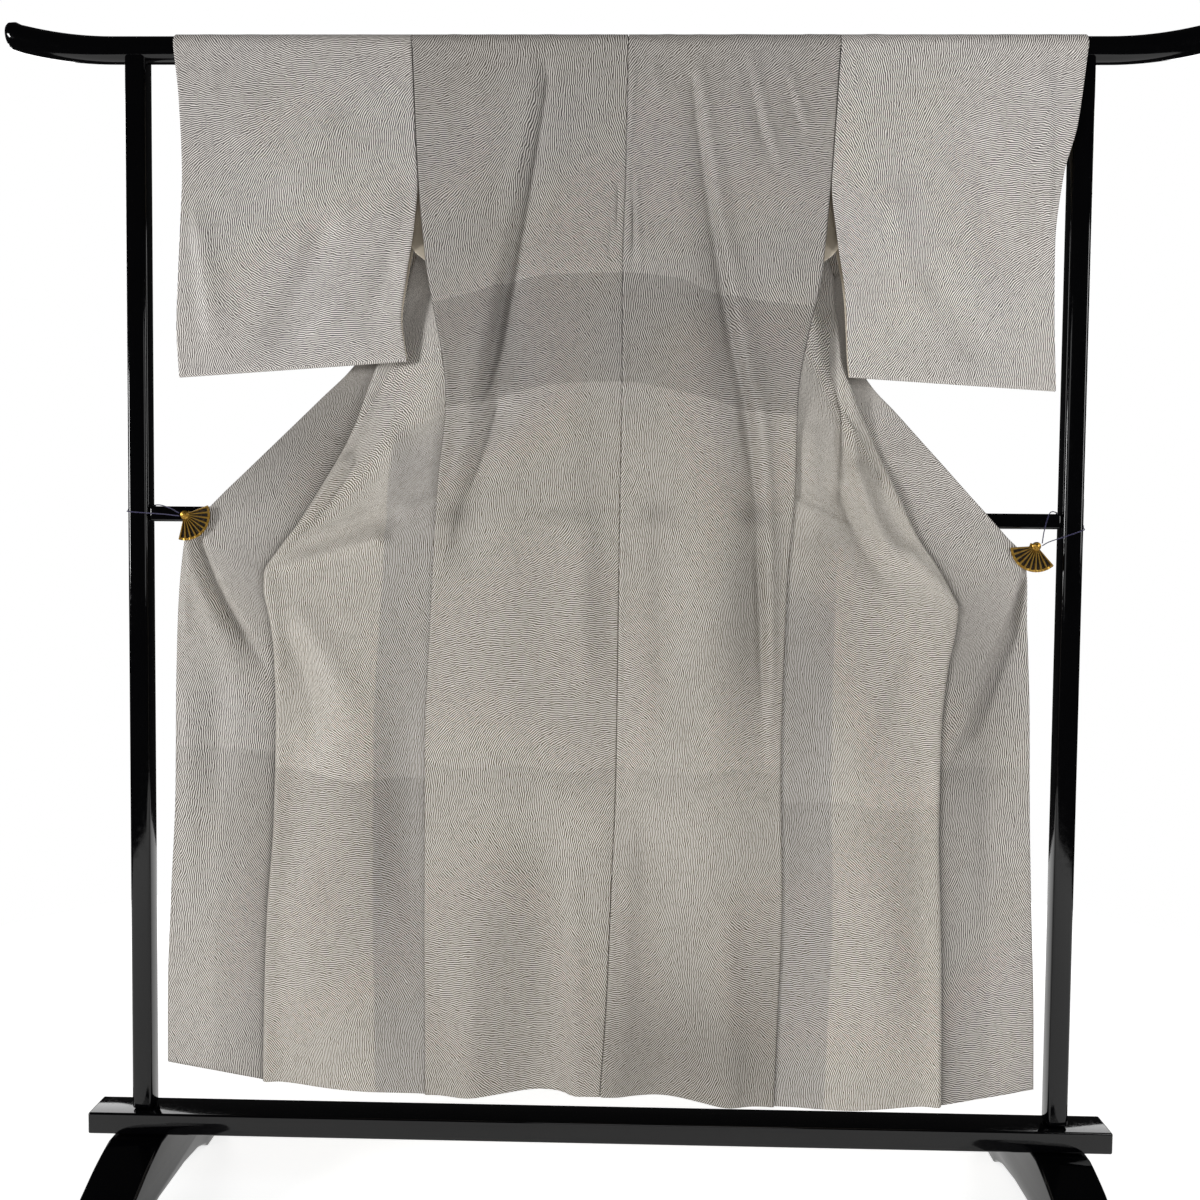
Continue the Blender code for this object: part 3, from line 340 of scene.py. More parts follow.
# The tuck taken across the back: heights of its sewn line and of the lower edge of the cloth inside.
Tuck = namedtuple("Tuck", "x top low")
TUCK = [
    Tuck(-0.256, 1.336, 1.186),
    Tuck(-0.177, 1.356, 1.196),
    Tuck(-0.120, 1.373, 1.212),
    Tuck(-0.060, 1.380, 1.223),
    Tuck(0.026, 1.382, 1.227),
    Tuck(0.110, 1.374, 1.213),
    Tuck(0.152, 1.358, 1.203),
    Tuck(0.226, 1.343, 1.185),
    Tuck(0.315, 1.334, 1.178),
]
TUCK_STEPS = 8

# Top edge of the heavier lower lining, which shows through: its height at each edge of each panel.
LINING_TOP = {
    ("back", "left"): (0.668, 0.673), ("back", "right"): (0.668, 0.668),
    ("front", "left"): (0.664, 0.644), ("front", "right"): (0.620, 0.627),
    ("overlap", "left"): (0.688, 0.694), ("overlap", "right"): (0.675, 0.677),
}
# The turned-in cloth beside each side seam, which shows through: its width, and where it begins to fade.
ALLOWANCE = {"left": 0.072, "right": 0.070}
ALLOWANCE_TOP = {"left": 1.150, "right": 0.935}

# Painted shade: soft darker places where the middle rail behind the cloth shades it, where the cloth turns
# from the light, and where it lies doubled and lets less light through.
ShadeSpot = namedtuple("ShadeSpot", "x z wide tall dark")
SHADE_SPOTS = [
    ShadeSpot(-0.212, 1.034, 0.026, 0.016, 0.16),
    ShadeSpot(-0.055, 1.035, 0.046, 0.013, 0.13),
    ShadeSpot(0.081, 1.036, 0.026, 0.015, 0.15),
    ShadeSpot(0.219, 1.037, 0.026, 0.020, 0.20),
    ShadeSpot(0.320, 0.992, 0.030, 0.034, 0.12),
    ShadeSpot(-0.150, 1.222, 0.030, 0.020, 0.06),
    ShadeSpot(0.212, 0.980, 0.030, 0.200, 0.20),
    ShadeSpot(-0.215, 1.080, 0.022, 0.120, 0.14),
    ShadeSpot(-0.150, 1.330, 0.026, 0.130, 0.12),
    ShadeSpot(0.165, 1.360, 0.024, 0.140, 0.10),
    ShadeSpot(0.205, 1.225, 0.030, 0.030, 0.06),
    ShadeSpot(0.433, 1.135, 0.040, 0.030, 0.07),
    ShadeSpot(0.320, 0.860, 0.090, 0.200, 0.16),
    ShadeSpot(0.140, 0.260, 0.140, 0.090, 0.12),
    ShadeSpot(0.550, 0.800, 0.060, 0.150, 0.26),
]



# ---------------------------------------------------------------- how dark the cloth is drawn: lines that show through, and painted shade
NO_MARK = 1.0           # far above every line that shows through
LAYERED_SHADE = 0.30          # painted shade on the upper back, where the fronts and the collar behind it let less light through
TUCK_SHADE = 0.17       # the tuck's band across the back
LINING_SHADE = 0.07     # the heavier lower lining
TROUGH_SHADE = 4.0      # painted shade for each metre of depth of a trough
BACK_LOW = 0.19         # the back below the hips, which turns down from the light
# painted shade, darker towards the hem
BACK_HEM_SHADE = {"left": 0.14, "right": 0.26}
BACK_EDGE_SHADOW = 0.42        # painted shadow along the line where the back's edge lies on the front
# painted shade, darker lower down the fronts
FRONT_LOW_SHADE = {"left": 0.08, "right": 0.13}
FRONT_LINING = {"left": 0.11, "right": 0.03}
# painted shade over the overlap panels, more towards the top of the left one, and a little painted light
# towards the top of the right one
OVERLAP_SHADE = 0.17
OVERLAP_TOP_SHADE = {"left": 0.24, "right": -0.08}
# painted shade, darker towards the top of the left sleeve
SLEEVE_TOP_SHADE = {"left": 0.05, "right": 0.0}


def painted_soft_shade(x, z):
    """How much darker the cloth is drawn at a place by the spots of painted shade."""
    return sum(t.dark * bell(x - t.x, t.wide) * bell(z - t.z, t.tall) for t in SHADE_SPOTS)


# Painted shade in the troughs of the creases, darker the deeper they are.
def painted_trough_shade(creases, x, z):
    return TROUGH_SHADE * max(0.0, relief(creases, x, z))


# ---------------------------------------------------------------- curves through the tables
def smooth(rows, column, at):
    """A column's value, on a smooth curve through rows keyed by their first column, without overshoot."""
    keys = [row[0] for row in rows]
    values = [getattr(row, column) for row in rows]
    if at <= keys[0]:
        return values[0]
    if at >= keys[-1]:
        return values[-1]
    i = bisect.bisect_right(keys, at) - 1

    def rate(k):
        return (values[k + 1] - values[k]) / (keys[k + 1] - keys[k])

    def slope(k):
        if k == 0 or k == len(keys) - 1:
            return rate(min(k, len(keys) - 2))
        before, after = rate(k - 1), rate(k)
        return 0.0 if before * after <= 0 else 2 * before * after / (before + after)

    span = keys[i + 1] - keys[i]
    t = (at - keys[i]) / span
    return (values[i] * (1 + 2 * t) * (1 - t) ** 2 + span * slope(i) * t * (1 - t) ** 2
            + values[i + 1] * t * t * (3 - 2 * t) + span * slope(i + 1) * t * t * (t - 1))


def ease(t):
    """0 to 1 with a soft start and stop."""
    t = min(1.0, max(0.0, t))
    return t * t * (3 - 2 * t)


def mix(a, b, t):
    return a + (b - a) * t


def outward(side):
    return -1 if side == "left" else 1


def bell(offset, wide):
    return math.exp(-(offset / wide) ** 2)


def relief(creases, x, z, through_hem=False):
    """How far the creases push the cloth to +Y at a place."""
    total = 0.0
    for c in creases:
        run_x, run_z = c.x_low - c.x_top, c.z_low - c.z_top
        length = math.hypot(run_x, run_z)
        t = ((x - c.x_top) * run_x + (z - c.z_top) * run_z) / (length * length)
        if t <= 0 or t >= 1:
            continue
        off = ((x - c.x_top) * -run_z + (z - c.z_top) * run_x) / length - c.bow * 4 * t * (1 - t)
        wide = (c.right if off > 0 else c.left) * mix(c.narrow, 1, t)
        if abs(off) < 3 * wide:
            low_end = 1 if through_hem else ease((1 - t) / max(0.38, c.fade))
            total += c.deep * bell(off, wide) * ease(t / c.fade) * low_end * mix(c.narrow, 1, math.sqrt(t))
    return total


def unevenness(x, z, seed):
    """The small irregular swell of hanging silk, a millimetre or so."""
    wide = noise.noise(Vector((x * 7, z * 3, seed)))
    fine = noise.noise(Vector((x * 26, z * 11, seed + 7)))
    return 0.0016 * wide + 0.0005 * fine


# ---------------------------------------------------------------- where each panel's cloth lies
def back_depth(side, x, z):
    """y of the back's cloth at a place, with its creases, which die out at the seams."""
    centre, edge = smooth(BACK, "centre", z), smooth(BACK, side, z)
    u = min(1.0, max(0.0, (x - centre) / (edge - centre)))
    flat = mix(smooth(BACK, "y_centre", z), smooth(BACK, "y_" + side, z), u)
    fall = ease((RAIL_Z - z) / 0.05)
    # the middle rail keeps the cloth from going far back where it lies against it
    held = 0.45 * bell(z - 1.035, 0.045)
    folds = relief(BACK_CREASES, x, z) * ease(u * 14 + 0.3) * ease((1 - u) * 7)
    folds += relief(HEM_FOLDS, x, z, through_hem=True) * ease(u * 5) * ease((1 - u) * 5)
    folds += unevenness(x, z, 1.0 if side == "left" else 2.0) * ease(u * 20) * ease((1 - u) * 10)
    swell = 0.021 * math.sin(math.pi * u) * ease((1.22 - z) / 0.35) * ease((z - HEM) / 0.30 + 0.35)
    return flat + fall * (folds * (1 - held) if folds > 0 else folds) - swell


def back_line(side, z):
    """The back at height z, u running from the centre seam (0) to the side (1)."""
    start = smooth(BACK, "centre", z) + outward(side) * CENTRE_GAP
    edge = smooth(BACK, side, z)
    top = [smooth(TUCK, "top", mix(start, edge, k / TUCK_STEPS)) for k in range(TUCK_STEPS + 1)]

    def place(u):
        x = mix(start, edge, u)
        y = back_depth(side, x, z)
        from_seam, from_side = abs(x - start), abs(x - edge)
        # the seam allowance lies to the right, so that side stands up in a roll beside the centre seam
        roll = -0.0004 * bell(from_seam, 0.006)
        if side == "right":
            roll = -0.0014 * bell(from_seam - 0.0045, 0.0035)
        y += ease((RAIL_Z - z) / 0.03) * (roll + 0.0016 * max(0.0, 1 - from_seam / 0.0014) ** 2)
        y += 0.0024 * max(0.0, 1 - from_side / 0.0022) ** 2 - 0.0010 * bell(from_side - 0.004, 0.004)
        # above the tuck's sewn line the cloth lies a layer further out
        k = min(TUCK_STEPS - 1, int(u * TUCK_STEPS))
        sewn = mix(top[k], top[k + 1], u * TUCK_STEPS - k)
        y -= 0.0013 * ease((z - sewn) / 0.004 + 0.5) * ease((1.46 - z) / 0.06)
        return Vector((x, y, z))
    return place


def bend_line(side, angle):
    """The body over the rail: 180 is its -Y side, 90 the top, 0 the +Y side."""
    past_neck = max(0.0, 1 - max(0.0, angle) / NECK_ANGLE)
    inner = BACK[-1].centre + outward(side) * (CENTRE_GAP + NECK_HALF * math.sqrt(1 - (1 - past_neck) ** 2))
    outer = getattr(BACK[-1], side)
    turn = math.radians(angle)

    def place(u):
        x = mix(inner, outer, u)
        ridge = 0.0012 * max(0.0, noise.noise(Vector((x * 34, 0.2 * turn, 5.0)))) * math.sin(turn) ** 2
        radius = DRAPE_R + ridge
        return Vector((x, radius * math.cos(turn), RAIL_Z + radius * math.sin(turn)))
    return place


def side_edge(side, z):
    """The front's outer edge: the side seam below the underarm, the armhole's front edge above."""
    x = smooth(BACK, side, z)
    if z <= UNDERARM:
        return Vector((x - outward(side) * SEAM_INSET, smooth(BACK, "y_" + side, z) + SEAM_LAP, z))
    x += outward(side) * (smooth(ARMHOLE, "bulge", z) - SEAM_INSET * ease((1.455 - z) / 0.06))
    return Vector((x, smooth(ARMHOLE, "y", z), z))


def wing_point(side, which, z):
    return Vector([smooth(WINGS[side], f"{which}_{axis}", z) for axis in "xyz"])


def front_line(side, z):
    """The front on the row of side-edge height z, u from the overlap seam (0) to the side (1).

    From the side the cloth runs inwards behind the back, turns on a soft fold, comes out again, billows
    over the overlap seam and turns back to it.
    """
    side_at, seam_at, edge_at = side_edge(side, z), wing_point(side, "seam", z), wing_point(side, "edge", z)
    billow = smooth(WINGS[side], "billow", z)
    tuck = max(0.0, smooth(WINGS[side], "tuck", z) - billow)
    belly = smooth(WINGS[side], "belly", z)
    fold_at = side_at - Vector((outward(side) * tuck, 0, 0))
    run = (seam_at - fold_at).length
    away = (edge_at - seam_at).normalized() if (edge_at - seam_at).length > 0.01 else Vector((0, 0, 0))
    width = tuck + run + 2 * billow
    near = 0.0045 * ease(tuck / 0.012)
    lift = 0.0050 * ease(billow / 0.010)
    seed = 3.0 if side == "left" else 4.0

    def place(u):
        along = (1 - u) * width
        past = ease((along - tuck) / 0.010 + 0.5) if tuck > 0.004 else 1.0
        if along < tuck:
            spot = side_at.lerp(fold_at, along / tuck)
        elif along < tuck + run:
            spot = fold_at.lerp(seam_at, (along - tuck) / run)
        else:
            extra = along - tuck - run
            spot = seam_at + away * min(extra, 2 * billow - extra)
        base = back_depth(side, spot.x, spot.z) + SEAM_LAP if z <= UNDERARM else side_at.y
        first = base + 0.002 * ease(along / 0.03)
        over = min(1.0, max(0.0, (along - tuck) / run))
        second = mix(base + near, seam_at.y - lift, ease(over) if z <= UNDERARM else over)
        if along > tuck + run:
            second += lift * ease((along - tuck - run - billow) / 0.008 + 0.5)
        y = mix(first, second, past)
        y -= belly * math.sin(math.pi * u) ** 2
        shown = past * ease(over * 9) * ease((1 - over) * 12 + (0.6 if billow > 0.002 else 0.1))
        y += shown * (relief(FRONT_CREASES[side], spot.x, spot.z) + unevenness(spot.x, spot.z, seed))
        # the edge that shows is the seam, or the fold where the front billows over it
        from_edge = tuck + run + billow - along
        if from_edge >= 0:
            y += 0.0070 * max(0.0, 1 - from_edge / 0.0060) ** 2 - 0.0060 * bell(from_edge - 0.005, 0.016)
        return Vector((spot.x, y, spot.z))
    return place


def overlap_line(side, z):
    """The overlap panel, u from the front's seam (0) to the outer edge (1), laid just behind the front."""
    start, end = wing_point(side, "seam", z), wing_point(side, "edge", z)
    seed = 5.0 if side == "left" else 6.0

    def place(u):
        spot = start.lerp(end, u)
        spot.x -= outward(side) * 0.002 * (1 - u)
        spot.y += CLOTH_LAP * (1 - ease(u * 1.4))
        from_edge = (1 - u) * (end - start).length
        shown = ease(u * 8 + 0.1) * ease(from_edge / 0.02 + 0.25)
        spot.y += shown * (relief(OVERLAP_CREASES[side], spot.x, spot.z) + unevenness(spot.x, spot.z, seed))
        spot.y += 0.0010 * max(0.0, 1 - from_edge / 0.003) ** 2
        return spot
    return place


def sleeve_line(side, part, t):
    """A sleeve across from the body (0) to the cuff (1). Its rows go up the back, over and down the front."""
    rows = SLEEVES[side]
    seed = 8.0 if side == "left" else 9.0

    def place(across):
        low = mix(*SLEEVE_BOTTOM[side], across)
        if part == "bend":
            turn = math.radians(t)
            ridge = max(0.0, noise.noise(Vector((across * 11, 0.0, seed))))
            radius = DRAPE_R + 0.0010 * ridge * math.sin(turn) ** 2
            z = RAIL_Z + radius * math.sin(turn)
            y = radius * math.cos(turn)
        elif part == "fold":
            turn = math.radians(t)
            z = low - SLEEVE_FOLD_R * math.sin(turn)
            y = SLEEVE_BOTTOM_Y - SLEEVE_FOLD_R * math.cos(turn)
        else:
            z = mix(low, RAIL_Z, t)
            back = mix(SLEEVE_BOTTOM_Y - SLEEVE_FOLD_R, -DRAPE_R, ease(t / 0.55))
            y = back
            if part == "front":
                bottom_y = SLEEVE_BOTTOM_Y + SLEEVE_FOLD_R
                body_y = mix(bottom_y, smooth(ARMHOLE, "y", max(z, 1.455)), ease(t / 0.5))
                cuff_y = mix(bottom_y, DRAPE_R, ease(t / 0.55))
                y = mix(body_y, cuff_y, across)
                # below the wrist opening the cuff's edges are sewn together
                sewn = ease((CUFF_END - z) / 0.05) * ease((across - 0.72) / 0.28)
                y = mix(y, back + 0.0025, sewn)
        inner = smooth(BACK, side, z) + outward(side) * smooth(rows, "free", z)
        x = mix(inner, smooth(rows, "cuff", z), across)
        if part in ("back", "front"):
            fall = ease(t * 9) * ease((1 - t) * 10) * ease(across * 30 + 0.2) * ease((1 - across) * 14)
            push = relief(SLEEVE_CREASES[side], x, z) + unevenness(x, z, seed)
            if part == "back":
                y += fall * push - 0.0008 * bell(across * SLEEVE_WIDE - 0.004, 0.004)
            else:
                near_cuff = ease((CUFF_END - z) / 0.05) * ease((across - 0.6) / 0.3)
                y += fall * 0.35 * (1 - near_cuff) * push
        return Vector((x, y, z))
    return place


def collar_line(side, kind, value):
    """The collar behind the front edge, q across it from the sewn edge (0) to its fold (1).

    Rows run up the opened front by side-edge height, then round the neck by angle.
    """
    def place(q):
        if kind == "edge":
            turn = ease((value - KENSAKI) / (SHOULDER - KENSAKI))
            start = wing_point(side, "edge", value)
            away = Vector((-outward(side) * mix(0.72, 0.35, turn), 0, -mix(0.694, 0.94, turn)))
            start.x += outward(side) * NECK_LAP * turn
            start.y += mix(2.2, 2.3, turn) * CLOTH_LAP + 0.0012 * math.sin(math.pi * q)
            return start + away * (q * COLLAR_WIDE + 0.001)
        blend = value / NECK_ANGLE
        radius = DRAPE_R + 2.3 * CLOTH_LAP
        neck = NECK_HALF * math.sqrt(max(0.0, 1 - blend ** 2))
        x = BACK[-1].centre + outward(side) * (neck + NECK_LAP * (1 - blend))
        x -= outward(side) * 0.35 * q * COLLAR_WIDE * (neck / NECK_HALF)
        run = q * COLLAR_WIDE
        arc = radius * math.radians(value)
        if run < arc:
            turn = math.radians(value) - run / radius
            return Vector((x, radius * math.cos(turn), RAIL_Z + radius * math.sin(turn)))
        return Vector((x, radius, RAIL_Z - 0.003 * (1 - blend) - (run - arc)))
    return place


# ---------------------------------------------------------------- helpers
def linear(hex_colour):
    """An sRGB colour such as "#a09b94" as the linear values that shaders take."""
    channels = [int(hex_colour[i:i + 2], 16) / 255 for i in (1, 3, 5)]
    return [c / 12.92 if c <= 0.04045 else ((c + 0.055) / 1.055) ** 2.4 for c in channels]


def add_node(tree, kind, settings=None, **links):
    """Adds a node. settings holds its properties; links give inputs by name: a value or another's output."""
    node = tree.nodes.new(kind)
    for key, value in (settings or {}).items():
        setattr(node, key, value)
    for key, value in links.items():
        by_number = key[0] == "i" and key[1:].isdigit()
        socket = node.inputs[int(key[1:]) if by_number else key.replace("_", " ")]
        if isinstance(value, bpy.types.NodeSocket):
            tree.links.new(value, socket)
        else:
            socket.default_value = value
    return node


def attribute(tree, name):
    """The node that reads one of the layers that cloth_mesh() fills."""
    return add_node(tree, "ShaderNodeAttribute", {"attribute_name": name})


def below(tree, height, soft):
    """1 where a height is below its line and 0 above it, going over within soft either way."""
    return add_node(tree, "ShaderNodeMapRange", {"interpolation_type": "SMOOTHSTEP"}, Value=height,
                    From_Min=-soft, From_Max=soft, To_Min=1.0, To_Max=0.0).outputs[0]


def darker(tree, mask, amount, before):
    """Adds amount of darkness where the mask is 1."""
    return add_node(tree, "ShaderNodeMath", {"operation": "MULTIPLY_ADD"}, i0=mask, i1=amount,
                    i2=before).outputs[0]


def blended(tree, factor, first, second, blend="MIX"):
    """A mix of two colours, each given as a colour or as another node's output."""
    pair = [c if isinstance(c, bpy.types.NodeSocket) else (*c, 1) for c in (first, second)]
    return add_node(tree, "ShaderNodeMix", {"data_type": "RGBA", "blend_type": blend}, Factor=factor,
                    i6=pair[0], i7=pair[1]).outputs[2]


def roughen(tree, shader, height, strength, distance):
    """Gives a surface its fine relief."""
    bump = add_node(tree, "ShaderNodeBump", Height=height, Strength=strength, Distance=distance)
    tree.links.new(bump.outputs[0], shader.inputs["Normal"])


def new_material(name):
    """A material with its shader, ready for nodes. Returns the material, its tree and the shader."""
    material = bpy.data.materials.new(name)
    material.use_nodes = True
    return material, material.node_tree, material.node_tree.nodes["Principled BSDF"]


def add_piece(name, data, materials, replaced, body="root"):
    """Puts a finished mesh or curve in the scene as a piece of the object."""
    obj = bpy.data.objects.new(name, data)
    bpy.context.scene.collection.objects.link(obj)
    for material in materials:
        data.materials.append(material)
    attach(obj, body)
    if replaced:
        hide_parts(*replaced)
    return obj


def mesh_from(bm, name, smooth_shaded=True):
    mesh = bpy.data.meshes.new(name)
    bm.to_mesh(mesh)
    bm.free()
    if smooth_shaded:
        mesh.shade_smooth()
    return mesh


def crowded(count):
    """Positions from 0 to 1 that lie closer together near both ends, where the seams are."""
    return [k / count - 0.6 * math.sin(2 * math.pi * k / count) / (2 * math.pi) for k in range(count + 1)]


def steps(low, high, size):
    """Values from low to high, about size apart."""
    count = max(1, round((high - low) / size))
    return [mix(low, high, k / count) for k in range(count + 1)]


def cloth_mesh(name, across, rows, line, marks, width, start, outer, looped=False):
    """A cloth shell: a grid whose row j lies along line(*rows[j]); add_wall() gives it its wall later.

    Its UVs are metres along the cloth, from start, and a negative width runs the other way. marks(row, u,
    place) gives the heights above the tuck's sewn line, above its inner edge and above the lower lining,
    the distance past the turned-in cloth beside a side seam, the painted shade and the warmth.
    outer is the way that the first row's cloth faces.
    """
    bm = bmesh.new()
    uv_layer = bm.loops.layers.uv.new("cloth")
    edges_layer = bm.verts.layers.float_vector.new("edges")
    turned_layer = bm.verts.layers.float.new("turned")
    shade_layer = bm.verts.layers.float.new("shade")
    warm_layer = bm.verts.layers.float.new("warm")
    count = len(rows) if looped else len(rows) - 1
    bmesh.ops.create_grid(bm, x_segments=len(across) - 1, y_segments=count, size=0.5)
    lines = [line(*row) for row in rows]
    spots = {}
    for vert in bm.verts:
        i, j = round((vert.co.x + 0.5) * (len(across) - 1)), round((vert.co.y + 0.5) * count)
        spots[vert.index] = (i, j)
    down = [0.0]
    for j in range(count):
        a, b = lines[j](0.5), lines[(j + 1) % len(rows)](0.5)
        down.append(down[-1] + (b - a).length)
    for vert in bm.verts:
        i, j = spots[vert.index]
        row = rows[j % len(rows)]
        vert.co = lines[j % len(rows)](across[i])
        tuck_top, tuck_low, lining, turned, shade, warm = marks(row, across[i], vert.co)
        vert[edges_layer] = Vector((tuck_top, tuck_low, lining))
        vert[turned_layer] = turned
        vert[shade_layer] = shade
        vert[warm_layer] = warm
    for face in bm.faces:
        for loop in face.loops:
            i, j = spots[loop.vert.index]
            loop[uv_layer].uv = (start[0] + across[i] * width, start[1] + down[j])
    bm.normal_update()
    bm.faces.ensure_lookup_table()
    facing = sum((f.normal for f in bm.faces[:len(across) - 1]), Vector())
    if facing.dot(outer) < 0:
        bmesh.ops.reverse_faces(bm, faces=bm.faces)
    if looped:
        bmesh.ops.remove_doubles(bm, verts=bm.verts, dist=0.00001)
    return mesh_from(bm, name)


def add_wall(obj, wall):
    """Gives a cloth shell its thickness, with the lining's material on its inner face."""
    step = obj.modifiers.new("wall", "SOLIDIFY")
    step.thickness = wall
    step.offset = 0.0
    step.material_offset = 1
    step.material_offset_rim = 0
    return obj


def bar_mesh(name, size, centre, edge, segments=4):
    """A squared bar with rounded edges."""
    bm = bmesh.new()
    bmesh.ops.create_cube(bm, size=1.0)
    bmesh.ops.scale(bm, vec=size, verts=bm.verts)
    bmesh.ops.bevel(bm, geom=bm.edges[:], offset=edge, affect="EDGES", segments=segments, profile=0.5,
                    material=-1, offset_type="OFFSET")
    bmesh.ops.translate(bm, vec=centre, verts=bm.verts)
    bmesh.ops.recalc_face_normals(bm, faces=bm.faces)
    return mesh_from(bm, name)


def through(points, count):
    """Points evenly spaced in parameter along a smooth curve through the route's own points."""
    route = [Vector(p) for p in points]
    ends = [2 * route[0] - route[1]] + route + [2 * route[-1] - route[-2]]
    places = []
    for k in range(count):
        at = k * (len(route) - 1) / (count - 1)
        i = min(int(at), len(route) - 2)
        t = at - i
        a, b, c, d = ends[i:i + 4]
        places.append(0.5 * (2 * b + (c - a) * t + (2 * a - 5 * b + 4 * c - d) * t * t
                             + (3 * b - a - 3 * c + d) * t ** 3))
    return places


def tube_curve(name, places, radius, resolution=3, closed=False, radii=None):
    curve = bpy.data.curves.new(name, "CURVE")
    curve.dimensions = "3D"
    curve.bevel_depth = radius
    curve.bevel_resolution = resolution
    curve.use_fill_caps = True
    spline = curve.splines.new("POLY")
    spline.points.add(len(places) - 1)
    for k, (point, place) in enumerate(zip(spline.points, places)):
        point.co = (*place, 1)
        if radii:
            point.radius = radii[k]
    spline.use_cyclic_u = closed
    spline.use_smooth = True
    return curve


# ---------------------------------------------------------------- materials
def silk_material(silk):
    """Yarn-dyed crepe silk: short white wavy dashes run in swirls over a grey-beige ground."""
    material, tree, shader = new_material("woven_silk_wavy_dashes")
    place = add_node(tree, "ShaderNodeUVMap", {"uv_map": "cloth"}).outputs["UV"]
    # the way the rows of dashes run turns slowly across the cloth, so that they lie in long arcs
    slow = add_node(tree, "ShaderNodeTexNoise", {"noise_dimensions": "2D"}, Vector=place,
                    Scale=1 / silk.swirl, Detail=0.0)
    way = add_node(tree, "ShaderNodeMapRange", {"clamp": False}, Value=slow.outputs[0], From_Min=0.0,
                   From_Max=1.0, To_Min=-silk.turn, To_Max=silk.turn)
    rows = add_node(tree, "ShaderNodeTexGabor", {"gabor_type": "2D"}, Vector=place,
                    Scale=1 / silk.dash_length, Frequency=silk.dash_length / silk.dash_pitch,
                    Anisotropy=0.97, Orientation=way.outputs[0])
    dash = add_node(tree, "ShaderNodeMapRange", {"interpolation_type": "SMOOTHSTEP"},
                    Value=rows.outputs["Value"], From_Min=0.44, From_Max=0.58)

    # the ground drifts between a cooler and a warmer grey, warmer over the beige lower lining
    warm = attribute(tree, "warm")
    drift = add_node(tree, "ShaderNodeTexNoise", {"noise_dimensions": "2D"}, Vector=place, Scale=6.0,
                     Detail=1.0)
    warmth = add_node(tree, "ShaderNodeMath", {"operation": "MULTIPLY_ADD", "use_clamp": True},
                      i0=drift.outputs[0], i1=0.8, i2=warm.outputs["Fac"])
    ground = blended(tree, warmth.outputs[0], silk.ground_cool, silk.ground_warm)
    woven = blended(tree, dash.outputs[0], ground, silk.dash)

    # doubled cloth and lining edges that show through, and the painted shade carried by the 'shade' layer
    heights = add_node(tree, "ShaderNodeSeparateXYZ", Vector=attribute(tree, "edges").outputs["Vector"])
    band_above = add_node(tree, "ShaderNodeMapRange", {"interpolation_type": "SMOOTHSTEP"},
                          Value=heights.outputs["Y"], From_Min=-0.002, From_Max=0.002)
    in_band = add_node(tree, "ShaderNodeMath", {"operation": "MULTIPLY"},
                       i0=below(tree, heights.outputs["X"], 0.0012), i1=band_above.outputs[0])
    # the 'shade' layer holds painted shade: in troughs, under doubled layers, at the rail and lower down
    dark = darker(tree, in_band.outputs[0], TUCK_SHADE, attribute(tree, "shade").outputs["Fac"])
    dark = darker(tree, below(tree, heights.outputs["Z"], 0.0025), LINING_SHADE, dark)
    shaded = blended(tree, dark, woven, (0.10, 0.095, 0.085), "MULTIPLY")
    doubled = below(tree, attribute(tree, "turned").outputs["Fac"], 0.002)
    cool = add_node(tree, "ShaderNodeMath", {"operation": "MULTIPLY"}, i0=doubled, i1=0.85)
    finished = blended(tree, cool.outputs[0], shaded, silk.doubled_tint, "MULTIPLY")
    tree.links.new(finished, shader.inputs["Base Color"])

    # threads are 0.4 mm apart, too fine to show: drawn at 1.6 mm
    crepe = add_node(tree, "ShaderNodeTexNoise", Vector=place, Scale=1 / 0.0016, Detail=1.0)
    roughen(tree, shader, crepe.outputs[0], 0.3, 0.0004)
    sheen = add_node(tree, "ShaderNodeMapRange", Value=dash.outputs[0], To_Min=0.58, To_Max=0.42)
    tree.links.new(sheen.outputs[0], shader.inputs["Roughness"])
    shader.inputs["Specular IOR Level"].default_value = 0.35
    shader.inputs["Sheen Weight"].default_value = 0.12
    shader.inputs["Sheen Roughness"].default_value = 0.4
    return material


def lining_material(silk):
    """Plain-weave silk lining: cream above, and the kimono's own beige in the heavier lower lining."""
    material, tree, shader = new_material("plain_silk_lining")
    place = add_node(tree, "ShaderNodeUVMap", {"uv_map": "cloth"}).outputs["UV"]
    heights = add_node(tree, "ShaderNodeSeparateXYZ", Vector=attribute(tree, "edges").outputs["Vector"])
    low = add_node(tree, "ShaderNodeMapRange", Value=heights.outputs["Z"], From_Min=-0.001, From_Max=0.001,
                   To_Min=1.0, To_Max=0.0)
    slub = add_node(tree, "ShaderNodeTexNoise", Vector=place, Scale=60.0, Detail=3.0)
    cloud = add_node(tree, "ShaderNodeMapRange", Value=slub.outputs[0], To_Min=0.92, To_Max=1.04)
    tone = blended(tree, low.outputs[0], silk.lining, silk.lower_lining)
    toned = add_node(tree, "ShaderNodeVectorMath", {"operation": "SCALE"}, i0=tone, Scale=cloud.outputs[0])
    tree.links.new(toned.outputs[0], shader.inputs["Base Color"])
    # threads are 0.3 mm apart, too fine to show: drawn at 1.5 mm
    weave = add_node(tree, "ShaderNodeTexWave", {"bands_direction": "X"}, Vector=place, Scale=1 / 0.0015,
                     Distortion=1.0)
    roughen(tree, shader, weave.outputs["Fac"], 0.15, 0.0003)
    shader.inputs["Roughness"].default_value = 0.55
    shader.inputs["Sheen Weight"].default_value = 0.15
    return material


